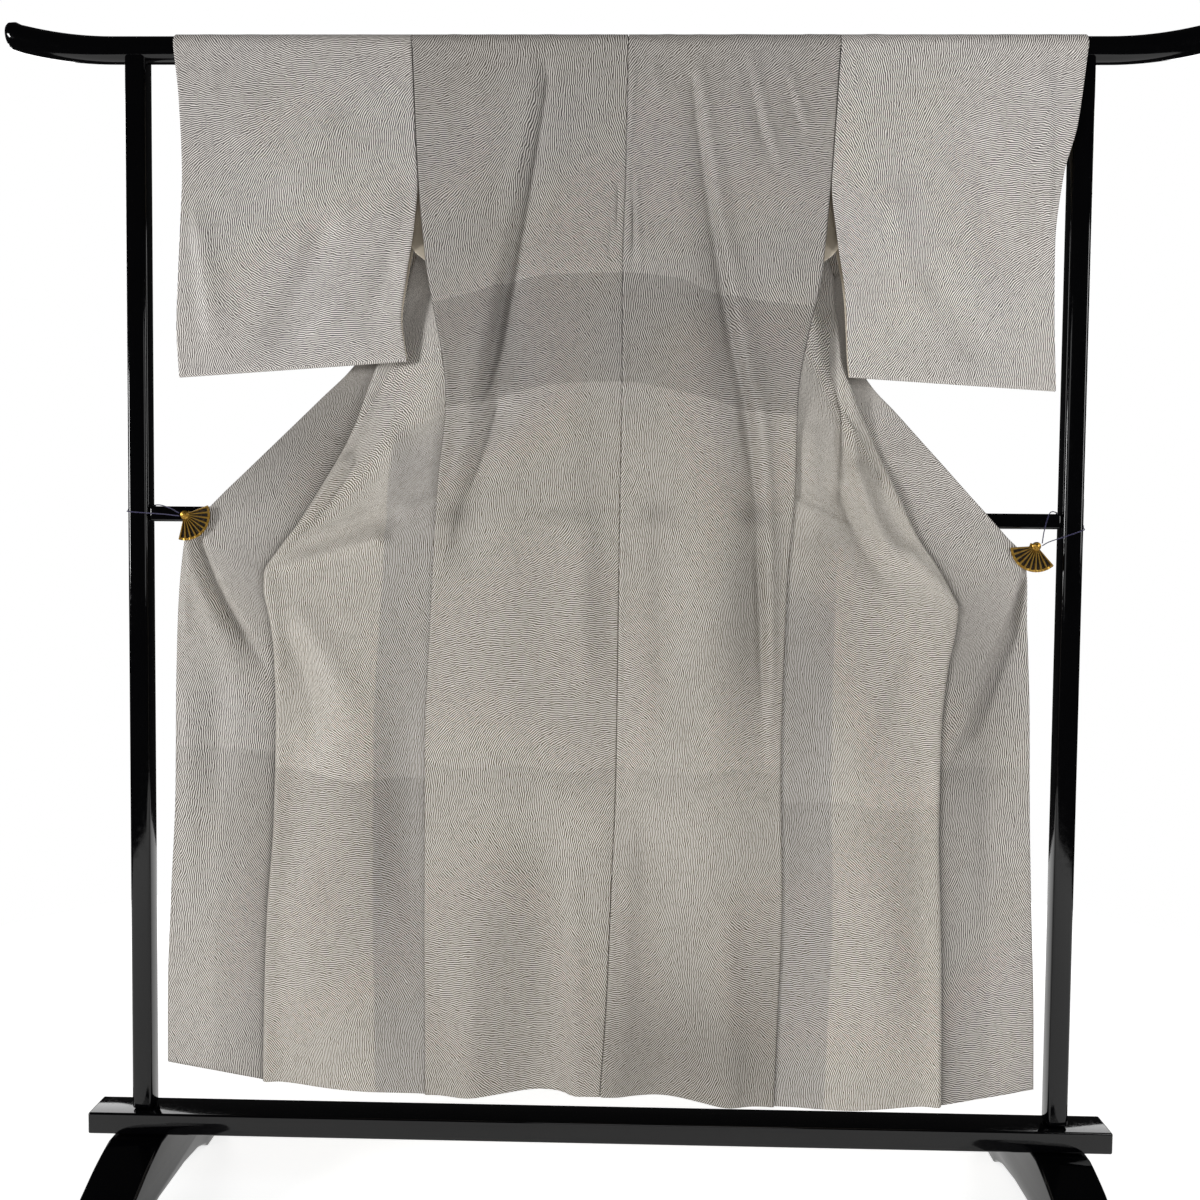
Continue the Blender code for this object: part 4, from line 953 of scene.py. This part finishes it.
def lacquer_material(stand):
    """Polished black lacquer on wood: nearly black, wet gloss, with the slightest ripple and dust."""
    material, tree, shader = new_material("polished_black_lacquer")
    place = add_node(tree, "ShaderNodeTexCoord").outputs["Object"]
    cloud = add_node(tree, "ShaderNodeTexNoise", Vector=place, Scale=9.0, Detail=4.0)
    tone = blended(tree, cloud.outputs[0], stand.lacquer, stand.lacquer_deep)
    tree.links.new(tone, shader.inputs["Base Color"])
    dust = add_node(tree, "ShaderNodeTexNoise", Vector=place, Scale=160.0, Detail=6.0, Roughness=0.7)
    rough = add_node(tree, "ShaderNodeMapRange", Value=dust.outputs[0], From_Min=0.45, From_Max=0.8,
                     To_Min=stand.gloss, To_Max=stand.gloss + 0.12)
    tree.links.new(rough.outputs[0], shader.inputs["Roughness"])
    ripple = add_node(tree, "ShaderNodeTexNoise", Vector=place, Scale=38.0, Detail=1.0)
    roughen(tree, shader, ripple.outputs[0], 0.05, 0.001)
    shader.inputs["IOR"].default_value = 1.52
    shader.inputs["Specular IOR Level"].default_value = 0.3
    return material


def gilt_material(fittings):
    """Gilt stamped brass: bright on the ribs, browner where it has tarnished."""
    material, tree, shader = new_material("gilt_stamped_brass")
    place = add_node(tree, "ShaderNodeTexCoord").outputs["Object"]
    tarnish = add_node(tree, "ShaderNodeTexNoise", Vector=place, Scale=140.0, Detail=4.0)
    mask = add_node(tree, "ShaderNodeMapRange", Value=tarnish.outputs[0], From_Min=0.45, From_Max=0.7)
    tone = blended(tree, mask.outputs[0], fittings.gilt, fittings.tarnish)
    tree.links.new(tone, shader.inputs["Base Color"])
    rough = add_node(tree, "ShaderNodeMapRange", Value=mask.outputs[0], To_Min=0.34, To_Max=0.5)
    tree.links.new(rough.outputs[0], shader.inputs["Roughness"])
    grain = add_node(tree, "ShaderNodeTexNoise", Vector=place, Scale=900.0, Detail=2.0)
    roughen(tree, shader, grain.outputs[0], 0.12, 0.0003)
    shader.inputs["Metallic"].default_value = 1.0
    return material


def slot_shade_material(fittings):
    """Painted shade in the slots between the ribs: near-black, mottled with tarnish."""
    material, tree, shader = new_material("painted_slot_shade")
    place = add_node(tree, "ShaderNodeTexCoord").outputs["Object"]
    cloud = add_node(tree, "ShaderNodeTexNoise", Vector=place, Scale=300.0, Detail=3.0)
    worn = add_node(tree, "ShaderNodeMapRange", Value=cloud.outputs[0], From_Min=0.5, From_Max=0.8,
                    To_Max=0.5)
    tone = blended(tree, worn.outputs[0], fittings.slot_shade, fittings.tarnish)
    tree.links.new(tone, shader.inputs["Base Color"])
    shader.inputs["Metallic"].default_value = 0.6
    shader.inputs["Roughness"].default_value = 0.5
    return material


def braid_material(fittings):
    """Purple braided silk cord: two-tone strands wound along it."""
    material, tree, shader = new_material("braided_silk_cord")
    place = add_node(tree, "ShaderNodeTexCoord").outputs["Object"]
    strand = add_node(tree, "ShaderNodeTexWave", {"bands_direction": "DIAGONAL"}, Vector=place, Scale=260.0,
                      Distortion=1.5)
    tone = blended(tree, strand.outputs["Fac"], fittings.cord, fittings.cord_light)
    tree.links.new(tone, shader.inputs["Base Color"])
    roughen(tree, shader, strand.outputs["Fac"], 0.4, 0.0003)
    shader.inputs["Roughness"].default_value = 0.6
    shader.inputs["Sheen Weight"].default_value = 0.3
    return material


MADE = {}


def finish_of(name):
    """Each material is made once and shared."""
    scene = bpy.context.scene
    if name not in MADE:
        MADE[name] = {
            "silk": lambda: silk_material(scene.kimono_silk),
            "lining": lambda: lining_material(scene.kimono_silk),
            "lacquer": lambda: lacquer_material(scene.kimono_stand),
            "gilt": lambda: gilt_material(scene.kimono_fittings),
            "slot_shade": lambda: slot_shade_material(scene.kimono_fittings),
            "braid": lambda: braid_material(scene.kimono_fittings),
        }[name]()
    return MADE[name]


# ---------------------------------------------------------------- settings
def colour(name, description, hex_colour):
    return FloatVectorProperty(name=name, description=description, subtype="COLOR", size=3, min=0, max=1,
                               default=linear(hex_colour))


class SilkSettings(bpy.types.PropertyGroup):
    ground_warm: colour("Warm Ground", "Warmer grey of the silk's ground", "#5a4d2f")
    ground_cool: colour("Cool Ground", "Cooler grey of the silk's ground", "#4f484d")
    dash: colour("Dashes", "White yarn of the wavy dashes", "#fffaf3")
    doubled_tint: colour("Doubled Tint", "Tint where turned-in cloth shows through", "#e4e5e9")
    lining: colour("Lining", "Cream upper lining", "#d8ccb8")
    lower_lining: colour("Lower Lining", "Beige lower lining", "#b3a796")
    dash_pitch: FloatProperty(name="Dash Pitch", description="Distance between rows of dashes",
                              default=0.0028, min=0.002, max=0.02, unit="LENGTH")
    dash_length: FloatProperty(name="Dash Length", description="Usual length of a dash",
                               default=0.0080, min=0.004, max=0.05, unit="LENGTH")
    swirl: FloatProperty(name="Swirl", description="Distance in which the rows of dashes turn",
                         default=0.40, min=0.05, max=2.0, unit="LENGTH")
    turn: FloatProperty(name="Turn", description="How far the rows of dashes turn either way",
                        default=2.6, min=0.0, max=12.0, subtype="ANGLE")
    wall: FloatProperty(name="Wall", description="Thickness of the silk with its lining",
                        default=0.0010, min=0.0003, max=0.003, unit="LENGTH")
    collar_wall: FloatProperty(name="Collar Wall", description="Thickness of the folded collar",
                               default=0.0024, min=0.001, max=0.006, unit="LENGTH")
    cell: FloatProperty(name="Mesh Cell", description="Height of the cloth's mesh cells",
                        default=0.006, min=0.003, max=0.05, unit="LENGTH")
    body_columns: IntProperty(name="Body Columns", description="Mesh cells across a body panel",
                              default=84, min=8, max=90)


class StandSettings(bpy.types.PropertyGroup):
    lacquer: colour("Lacquer", "Black of the lacquer", "#060607")
    lacquer_deep: colour("Deep Lacquer", "Deepest black of the lacquer", "#020203")
    gloss: FloatProperty(name="Gloss Roughness", description="Roughness of the polished lacquer",
                         default=0.06, min=0.0, max=1.0, subtype="FACTOR")
    post_wide: FloatProperty(name="Post Width", description="Width of each post", default=0.030,
                             unit="LENGTH")
    post_deep: FloatProperty(name="Post Depth", description="Depth of each post", default=0.030,
                             unit="LENGTH")
    post_edge: FloatProperty(name="Post Edge", description="Rounding of the posts' edges", default=0.005,
                             unit="LENGTH")


class FittingSettings(bpy.types.PropertyGroup):
    gilt: colour("Gilt", "Bright gilding of the fan clips", "#c89f4c")
    tarnish: colour("Tarnish", "Browner places on the gilding", "#8a6729")
    # painted shade: the near-black that fills the slots between the fan's ribs
    slot_shade: colour("Patina", "Blackened metal between the ribs", "#120d08")
    cord: colour("Cord", "Purple of the cords", "#151038")
    cord_light: colour("Light Strands", "Lighter strands of the cords", "#28205a")


class StageSettings(bpy.types.PropertyGroup):
    floor: colour("Floor", "Pale studio floor", "#f4f4f2")
    lens: FloatProperty(name="Lens", description="Camera lens on a 36 mm sensor, in millimetres",
                        default=36.0)
    key_power: FloatProperty(name="Key Power", description="Power of the main softbox", default=232.0)
    ambient: FloatProperty(name="Ambient", description="Strength of the light from all round", default=0.10)


# ---------------------------------------------------------------- operators
class KIMONO_OT_camera(bpy.types.Operator):
    """Set up the camera that looks at the kimono's back"""
    bl_idname = "kimono.camera"
    bl_label = "Camera"

    def execute(self, context):
        pitch, yaw, roll = 0.044, -0.0227, 0.0095
        place = Vector((0.0385, -1.76, 0.9889))
        forward = Vector((math.sin(yaw) * math.cos(pitch), math.cos(yaw) * math.cos(pitch), -math.sin(pitch)))
        level = Vector((math.cos(yaw), -math.sin(yaw), 0))
        up = level.cross(forward)
        right = level * math.cos(roll) + up * math.sin(roll)
        up = up * math.cos(roll) - level * math.sin(roll)
        data = bpy.data.cameras.new("camera")
        data.lens = context.scene.kimono_stage.lens
        data.sensor_width = 36.0
        camera = bpy.data.objects.new("camera", data)
        context.scene.collection.objects.link(camera)
        rows = Matrix((right, up, -forward)).transposed().to_4x4()
        camera.matrix_world = Matrix.Translation(place) @ rows
        context.scene.camera = camera
        return {"FINISHED"}


class KIMONO_OT_cords(bpy.types.Operator):
    """Add the thin cords that tie the clips to the posts"""
    bl_idname = "kimono.cords"
    bl_label = "Cords"

    def execute(self, context):
        braid = finish_of("braid")
        for side in SIDES:
            places = through(CORDS[side], CORD_POINTS)
            cord = add_piece(side + "_cord", tube_curve(side + "_cord", places, CORD_R), [braid],
                             ["cord_" + side])
            # where the cord's ends are joined it is knotted: a small trefoil
            turns = [2 * math.pi * k / 36 for k in range(36)]
            loop = [Vector(CORD_KNOTS[side]) + KNOT_R * Vector((
                0.5 * math.sin(3 * t), math.sin(t) + 2 * math.sin(2 * t), math.cos(t) - 2 * math.cos(2 * t)))
                for t in turns]
            name = side + "_cord_knot"
            knot = add_piece(name, tube_curve(name, loop, CORD_R * 0.9, closed=True), [braid], [])
        return {"FINISHED"}


class KIMONO_OT_stage(bpy.types.Operator):
    """Add the pale floor, the softboxes and the even light"""
    bl_idname = "kimono.stage"
    bl_label = "Stage"

    def execute(self, context):
        stage = context.scene.kimono_stage
        bm = bmesh.new()
        bmesh.ops.create_circle(bm, cap_ends=True, radius=2.0, segments=64)
        floor = bpy.data.objects.new("studio_floor", mesh_from(bm, "studio_floor"))
        context.scene.collection.objects.link(floor)
        material, tree, shader = new_material("pale_studio_floor")
        shader.inputs["Base Color"].default_value = (*stage.floor, 1)
        shader.inputs["Roughness"].default_value = 0.9
        shader.inputs["Emission Color"].default_value = (1, 1, 1, 1)
        place = add_node(tree, "ShaderNodeTexCoord").outputs["Object"]
        far = add_node(tree, "ShaderNodeVectorMath", {"operation": "LENGTH"}, i0=place)
        glow = add_node(tree, "ShaderNodeMapRange", {"interpolation_type": "SMOOTHSTEP"},
                        Value=far.outputs["Value"], From_Min=0.8, From_Max=1.8, To_Min=0.74, To_Max=1.0)
        tree.links.new(glow.outputs[0], shader.inputs["Emission Strength"])
        floor.data.materials.append(material)

        world = bpy.data.worlds.new("even_light")
        world.use_nodes = True
        context.scene.world = world
        tree = world.node_tree
        path = add_node(tree, "ShaderNodeLightPath")
        mirrored = add_node(tree, "ShaderNodeMapRange", Value=path.outputs["Is Glossy Ray"],
                            To_Min=stage.ambient, To_Max=0.02)
        strength = add_node(tree, "ShaderNodeMapRange", Value=path.outputs["Is Camera Ray"],
                            To_Min=mirrored.outputs[0], To_Max=1.0)
        background = tree.nodes["Background"]
        background.inputs["Color"].default_value = (1, 1, 1, 1)
        tree.links.new(strength.outputs[0], background.inputs["Strength"])

        Softbox = namedtuple("Softbox", "name place target wide tall power")
        for box in (
            Softbox("key_softbox", (-5.5, -3.6, 1.6), (0.0, 0.0, 0.9), 1.2, 1.6, stage.key_power),
            Softbox("front_softbox", (0.3, -3.4, 1.5), (0.0, 0.0, 0.9), 1.5, 1.5, stage.key_power * 0.06),
            Softbox("right_softbox", (2.2, -1.4, 1.6), (0.5, 0.0, 1.3), 0.5, 1.2, stage.key_power * 0.084),
            Softbox("rear_left_softbox", (-2.6, 2.8, 2.0), (0.0, 0.0, 1.0), 1.0, 1.6, stage.key_power * 0.08),
            Softbox("rear_right_softbox", (2.6, 2.8, 2.0), (0.0, 0.0, 1.0), 1.0, 1.6, stage.key_power * 0.08),
        ):
            data = bpy.data.lights.new(box.name, "AREA")
            data.shape = "RECTANGLE"
            data.size, data.size_y, data.energy = box.wide, box.tall, box.power
            light = bpy.data.objects.new(box.name, data)
            context.scene.collection.objects.link(light)
            light.location = box.place
            aim = Vector(box.target) - Vector(box.place)
            light.rotation_euler = aim.to_track_quat("-Z", "Y").to_euler()
        context.scene.view_settings.view_transform = "Standard"
        return {"FINISHED"}


class KIMONO_OT_stand(bpy.types.Operator):
    """Add the lacquered stand: top rail, posts, middle rail, stretcher and feet"""
    bl_idname = "kimono.stand"
    bl_label = "Stand"

    def execute(self, context):
        stand = context.scene.kimono_stand
        lacquer = finish_of("lacquer")
        reach = RAIL_HALF - RAIL_BEND
        end = [(RAIL_BEND + reach * t / 12, RAIL_RISE * (t / 12) ** 2, 1.0) for t in range(12)]
        end += [(RAIL_HALF - 0.007, RAIL_RISE, 0.985), (RAIL_HALF - 0.003, RAIL_RISE, 0.93),
                (RAIL_HALF, RAIL_RISE, 0.80)]
        stations = [(-x, z, r) for x, z, r in reversed(end)] + end
        rail = tube_curve("lacquered_top_rail", [(x, 0, RAIL_Z + z) for x, z, r in stations], RAIL_R,
                          resolution=10, radii=[r for x, z, r in stations])
        add_piece("lacquered_top_rail", rail, [lacquer], ["top_rail"])
        for side in SIDES:
            low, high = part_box("post_" + side)
            size = (stand.post_wide, stand.post_deep, high[2] - low[2])
            centre = (outward(side) * POST_X, 0, (low[2] + high[2]) / 2)
            mesh = bar_mesh(side + "_lacquered_post", size, centre, stand.post_edge)
            add_piece(side + "_lacquered_post", mesh, [lacquer], ["post_" + side])
        for name, node, edge in (("lacquered_middle_rail", "mid_rail", 0.004),
                                 ("lacquered_stretcher", "stretcher", 0.003)):
            low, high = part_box(node)
            size = [high[k] - low[k] for k in range(3)]
            centre = [(high[k] + low[k]) / 2 for k in range(3)]
            add_piece(name, bar_mesh(name, size, centre, edge), [lacquer], [node])
        for side in SIDES:
            self.add_foot(side, lacquer)
        return {"FINISHED"}

    def add_foot(self, side, lacquer):
        """An arched foot: its outline across the stand, extruded to its width and rounded."""
        low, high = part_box("foot_" + side)
        half, top, arch, pad = high[1], high[2], 0.026, 0.060
        # a flat saddle under the post, then a curve that falls to the toe
        crown = through([(0, 0.0, top), (0, 0.030, top), (0, 0.085, top - 0.016),
                         (0, 0.140, top - 0.040), (0, 0.185, top - 0.053),
                         (0, half - 0.010, top - 0.066), (0, half, top - 0.084)], 26)[5:]
        sole = [(half, 0.0), (half - pad, 0.0), (half - pad - 0.010, 0.008),
                (0.110, arch * 0.75), (0.050, arch)]
        points = [(p.y, p.z) for p in crown] + sole
        outline = points + [(-y, z) for y, z in reversed(points)]
        bm = bmesh.new()
        verts = [bm.verts.new((low[0], y, z)) for y, z in outline]
        face = bm.faces.new(verts)
        grown = bmesh.ops.extrude_face_region(bm, geom=[face])
        moved = [g for g in grown["geom"] if isinstance(g, bmesh.types.BMVert)]
        bmesh.ops.translate(bm, vec=(high[0] - low[0], 0, 0), verts=moved)
        bmesh.ops.recalc_face_normals(bm, faces=bm.faces)
        sharp = [e for e in bm.edges if e.calc_face_angle(0) > math.radians(35)]
        bmesh.ops.bevel(bm, geom=sharp, offset=0.004, affect="EDGES", segments=3, profile=0.5, material=-1,
                        offset_type="OFFSET", clamp_overlap=True)
        mesh = mesh_from(bm, side + "_lacquered_foot")
        mesh.set_sharp_from_angle(angle=math.radians(40))
        add_piece(side + "_lacquered_foot", mesh, [lacquer], ["foot_" + side])


class KIMONO_OT_bodies(bpy.types.Operator):
    """Add the two body panels, each one cloth from the back's hem over the rail to the front's hem"""
    bl_idname = "kimono.bodies"
    bl_label = "Body Panels"

    def execute(self, context):
        silk = context.scene.kimono_silk
        heights = steps(HEM, RAIL_Z - 0.004, silk.cell)
        rows = [("back", z) for z in heights] + [("bend", 180 - a) for a in steps(0, 165, 11)]
        rows += [("front", z) for z in reversed(steps(HEM, SHOULDER - 0.004, silk.cell))]
        make = {"back": back_line, "bend": bend_line, "front": front_line}
        for side in SIDES:
            def marks(row, u, place, side=side):
                kind, height = row
                if kind == "bend":
                    # painted shade over the rail, as on the upper back
                    return NO_MARK, NO_MARK, NO_MARK, NO_MARK, LAYERED_SHADE, 0.0
                inner, outer = LINING_TOP[kind, side]
                lining = place.z - mix(inner, outer, u) - 0.004 * math.sin(place.x * 40)
                shade, warm = painted_soft_shade(place.x, place.z), ease((1.32 - place.z) / 0.35)
                if kind == "back":
                    # painted shade: less light through the layers behind, on the lower back and hem, in the
                    # troughs, and a painted shadow where the back's edge lies on the front
                    shade += LAYERED_SHADE * ease((place.z - 0.55) / 0.85)
                    shade += BACK_LOW * ease((1.15 - place.z) / 0.4)
                    shade += BACK_HEM_SHADE[side] * ease((0.62 - place.z) / 0.45)
                    shade += painted_trough_shade(BACK_CREASES, place.x, place.z)
                    shade += BACK_EDGE_SHADOW * bell(place.x - smooth(BACK, side, place.z), 0.0015)
                    return (place.z - smooth(TUCK, "top", place.x), place.z - smooth(TUCK, "low", place.x),
                            lining, NO_MARK, shade, warm)
                # painted shade lower down the fronts
                shade += FRONT_LOW_SHADE[side] * ease((1.30 - place.z) / 0.2)
                turned = NO_MARK
                if height < 1.20:
                    turned = max(abs(place.x - smooth(BACK, side, place.z)) - ALLOWANCE[side],
                                 0.04 * (place.z - ALLOWANCE_TOP[side]))
                shade += painted_trough_shade(FRONT_CREASES[side], place.x, place.z)
                shade += FRONT_LINING[side] * ease(0.5 - lining / 0.004)
                return NO_MARK, NO_MARK, lining, turned, shade, warm
            mesh = cloth_mesh(side + "_body_cloth", crowded(silk.body_columns), rows,
                              lambda kind, value, side=side: make[kind](side, value), marks,
                              outward(side) * 0.29, (1.7 * outward(side), 0.0), Vector((0, -1, 0)))
            piece = add_piece(side + "_body_cloth", mesh, [finish_of("silk"), finish_of("lining")],
                              ["body_" + side])
            add_wall(piece, silk.wall)
        return {"FINISHED"}


class KIMONO_OT_overlaps(bpy.types.Operator):
    """Add the overlap panels that widen the fronts"""
    bl_idname = "kimono.overlaps"
    bl_label = "Overlap Panels"

    def execute(self, context):
        silk = context.scene.kimono_silk
        for side in SIDES:
            def marks(row, u, place, side=side):
                inner, outer = LINING_TOP["overlap", side]
                lining = place.z - mix(inner, outer, u)
                from_seam = u * OVERLAP_WIDE
                shade = painted_soft_shade(place.x, place.z)
                # the front's edge shades it beside the seam
                shade += 0.40 * bell(from_seam, 0.006) + 0.14 * bell(from_seam, 0.045)
                # painted shade over the panel, its top darker on the left and lighter on the right
                shade += OVERLAP_SHADE + OVERLAP_TOP_SHADE[side] * ease((place.z - 1.00) / 0.14)
                # the lower lining is doubled in the half beside the seam
                shade += 0.08 * ease((0.52 - u) / 0.03) * ease((0.69 - place.z) / 0.01)
                shade += painted_trough_shade(OVERLAP_CREASES[side], place.x, place.z)
                return NO_MARK, NO_MARK, lining, NO_MARK, shade, 0.1
            rows = [(z,) for z in steps(HEM, 1.430, silk.cell)]
            mesh = cloth_mesh(side + "_overlap_cloth", crowded(30), rows,
                              lambda z, side=side: overlap_line(side, z), marks, OVERLAP_WIDE,
                              (3.1 + outward(side), 0.4), Vector((0, -1, 0)))
            piece = add_piece(side + "_overlap_cloth", mesh, [finish_of("silk"), finish_of("lining")],
                              ["okumi_" + side])
            add_wall(piece, silk.wall)
        return {"FINISHED"}


class KIMONO_OT_sleeves(bpy.types.Operator):
    """Add the sleeves, each a folded tube over the rail"""
    bl_idname = "kimono.sleeves"
    bl_label = "Sleeves"

    def execute(self, context):
        silk = context.scene.kimono_silk
        climb = steps(0.0, 1.0, silk.cell / 0.46)
        rows = [("back", t) for t in climb] + [("bend", 180 - a) for a in steps(11, 169, 11)]
        rows += [("front", t) for t in reversed(climb)]
        rows += [("fold", angle) for angle in (150, 120, 90, 60, 30)]
        for side in SIDES:
            def marks(row, u, place, side=side):
                # painted shade in the troughs and towards the top of the left sleeve
                shade = painted_trough_shade(SLEEVE_CREASES[side], place.x, place.z)
                shade += SLEEVE_TOP_SHADE[side] * ease((place.z - 1.30) / 0.36)
                return NO_MARK, NO_MARK, NO_MARK, NO_MARK, shade, -0.2
            mesh = cloth_mesh(side + "_sleeve_cloth", crowded(46), rows,
                              lambda part, t, side=side: sleeve_line(side, part, t),
                              marks, SLEEVE_WIDE, (7.3 + outward(side), 0.9), Vector((0, -1, 0)), looped=True)
            piece = add_piece(side + "_sleeve_cloth", mesh, [finish_of("silk"), finish_of("lining")],
                              ["sleeve_" + side])
            add_wall(piece, silk.wall)
        return {"FINISHED"}


class KIMONO_OT_collar(bpy.types.Operator):
    """Add the collar, one folded strip from tip to tip round the neck"""
    bl_idname = "kimono.collar"
    bl_label = "Collar"

    def execute(self, context):
        silk = context.scene.kimono_silk
        climb = [("edge", z) for z in steps(COLLAR_TIP, 1.650, silk.cell)]
        neck = [("neck", NECK_ANGLE * math.sin(math.pi / 2 * t)) for t in steps(0.0, 0.96, 0.06)]
        rows = [("left", *row) for row in climb + neck] + [("left", "neck", NECK_ANGLE)]
        rows += [("right", *row) for row in reversed(climb + neck)]
        mesh = cloth_mesh("collar_cloth", crowded(10), rows, collar_line,
                          lambda row, q, place: (NO_MARK, NO_MARK, NO_MARK, NO_MARK, 0.0, 0.1), COLLAR_WIDE,
                          (11.0, 0.0), Vector((0, 1, 0)))
        piece = add_piece("collar_cloth", mesh, [finish_of("silk"), finish_of("silk")], ["collar"])
        add_wall(piece, silk.collar_wall)
        return {"FINISHED"}


class KIMONO_OT_clips(bpy.types.Operator):
    """Add the gilt folding-fan clips and their jaws"""
    bl_idname = "kimono.clips"
    bl_label = "Fan Clips"

    def execute(self, context):
        gilt, slot_shade = finish_of("gilt"), finish_of("slot_shade")
        for side, clip in CLIPS.items():
            leaf, jaw = side + "_gilt_fan", side + "_gilt_jaw"
            fan = add_piece(leaf, self.fan_mesh(leaf, clip), [gilt, slot_shade], ["clip_fan_" + side])
            add_piece(jaw, self.jaw_mesh(jaw, clip), [gilt], ["clip_jaw_" + side])
            fan.data.set_sharp_from_angle(angle=math.radians(30))
        return {"FINISHED"}

    def fan_mesh(self, name, clip):
        """Pleated leaf with raised ribs, over a near-black plate that stands in as painted shade in the slots
        between them.
        """
        first = math.radians(clip.middle_deg - clip.spread_deg / 2)
        sweep = math.radians(clip.spread_deg)
        bm = bmesh.new()

        def at(turn, out, proud):
            return Vector((clip.x + out * math.cos(turn), FAN_Y - proud, clip.z + out * math.sin(turn)))

        def sector(segments, rings, inner, outer, lift, wall, index):
            made = bmesh.ops.create_grid(bm, x_segments=segments, y_segments=rings, size=0.5)["verts"]
            for vert in made:
                u, v = vert.co.x + 0.5, vert.co.y + 0.5
                out = mix(inner, outer, v)
                vert.co = at(first + sweep * u, out, lift(u, out))
            faces = list({f for v in made for f in v.link_faces})
            bmesh.ops.recalc_face_normals(bm, faces=faces)
            if faces[0].normal.y < 0:
                bmesh.ops.reverse_faces(bm, faces=faces)
            bmesh.ops.solidify(bm, geom=faces, thickness=wall)
            for face in {f for v in bm.verts for f in v.link_faces} - self.seen:
                face.material_index = index
                self.seen.add(face)

        self.seen = set()
        pleats = 4 * FAN_RIBS
        # the near-black plate under the ribs: painted shade for the slots between them
        sector(pleats, 2, FAN_INNER_R, FAN_R * 0.95, lambda u, out: -0.0004, 0.0003, 1)
        sector(pleats, 3, FAN_R * 0.91, FAN_R,
               lambda u, out: 0.0005 + 0.0005 * (out / FAN_R) * math.cos(2 * math.pi * FAN_RIBS * u),
               0.0004, 0)
        for k in range(FAN_RIBS + 1):
            turn = first + sweep * k / FAN_RIBS
            cube = bmesh.ops.create_cube(bm, size=1.0)["verts"]
            for vert in cube:
                out = mix(FAN_INNER_R * 0.6, FAN_R * 0.99, vert.co.x + 0.5)
                half = mix(0.0006, 0.0019, vert.co.x + 0.5) * (2 * vert.co.z)
                half *= 0.6 if vert.co.y < 0 else 1.0
                proud = 0.0004 - 0.0022 * vert.co.y
                vert.co = at(turn, out, proud) + Vector((-math.sin(turn), 0, math.cos(turn))) * half
            faces = {f for v in cube for f in v.link_faces}
            bmesh.ops.recalc_face_normals(bm, faces=list(faces))
        return mesh_from(bm, name)

    def jaw_mesh(self, name, clip):
        """The hub with its knob in front, and the sprung jaw plate behind the cloth."""
        bm = bmesh.new()
        knob = [(0.0, HUB_FRONT), (0.0026, HUB_FRONT + 0.0003), (0.0036, HUB_FRONT + 0.0012),
                (0.0034, HUB_FRONT + 0.0022), (HUB_R - 0.0008, HUB_FRONT + 0.0026),
                (HUB_R, HUB_FRONT + 0.0034), (HUB_R, FAN_Y + 0.0014), (0.0030, FAN_Y + 0.0020),
                (0.0030, JAW_Y), (0.0, JAW_Y)]
        verts = [bm.verts.new((clip.x + r, y, clip.z)) for r, y in knob]
        edges = [bm.edges.new(pair) for pair in zip(verts, verts[1:])]
        bmesh.ops.spin(bm, geom=verts + edges, cent=(clip.x, 0, clip.z), axis=(0, 1, 0),
                       angle=2 * math.pi, steps=32, use_merge=True)
        bmesh.ops.remove_doubles(bm, verts=bm.verts, dist=0.00001)
        turn = math.radians(clip.middle_deg)
        plate = bmesh.ops.create_cube(bm, size=1.0)["verts"]
        bmesh.ops.scale(bm, vec=(0.030, 0.0016, 0.012), verts=plate)
        bmesh.ops.rotate(bm, cent=(0, 0, 0), matrix=Matrix.Rotation(-turn, 3, "Y"), verts=plate)
        bmesh.ops.translate(bm, vec=(clip.x + 0.012 * math.cos(turn), JAW_Y, clip.z + 0.012 * math.sin(turn)),
                            verts=plate)
        plate_edges = list({e for v in plate for e in v.link_edges})
        bmesh.ops.bevel(bm, geom=plate_edges, offset=0.0006, affect="EDGES", segments=2, profile=0.5,
                        material=-1)
        bmesh.ops.recalc_face_normals(bm, faces=bm.faces)
        mesh = mesh_from(bm, name)
        mesh.set_sharp_from_angle(angle=math.radians(40))
        return mesh


STEPS = (KIMONO_OT_camera, KIMONO_OT_cords, KIMONO_OT_stage, KIMONO_OT_stand, KIMONO_OT_bodies,
         KIMONO_OT_overlaps, KIMONO_OT_sleeves, KIMONO_OT_collar, KIMONO_OT_clips)


class KIMONO_PT_panel(bpy.types.Panel):
    """Builds the kimono and its stand step by step"""
    bl_label = "Silk Kimono"
    bl_space_type = "VIEW_3D"
    bl_region_type = "UI"
    bl_category = "Kimono"

    def draw(self, context):
        for settings in (context.scene.kimono_silk, context.scene.kimono_stand, context.scene.kimono_fittings,
                         context.scene.kimono_stage):
            box = self.layout.box()
            for key in settings.bl_rna.properties.keys():
                if key not in ("rna_type", "name"):
                    box.prop(settings, key)
        for step in STEPS:
            self.layout.operator(step.bl_idname)


CLASSES = (SilkSettings, StandSettings, FittingSettings, StageSettings, *STEPS, KIMONO_PT_panel)


def register():
    for cls in CLASSES:
        bpy.utils.register_class(cls)
    bpy.types.Scene.kimono_silk = PointerProperty(type=SilkSettings)
    bpy.types.Scene.kimono_stand = PointerProperty(type=StandSettings)
    bpy.types.Scene.kimono_fittings = PointerProperty(type=FittingSettings)
    bpy.types.Scene.kimono_stage = PointerProperty(type=StageSettings)


def unregister():
    for name in ("kimono_silk", "kimono_stand", "kimono_fittings", "kimono_stage"):
        delattr(bpy.types.Scene, name)
    for cls in reversed(CLASSES):
        bpy.utils.unregister_class(cls)


def main():
    register()
    for step in STEPS:
        group, action = step.bl_idname.split(".")
        getattr(getattr(bpy.ops, group), action)()
    bpy.context.view_layer.update()


if __name__ == "__main__":
    main()
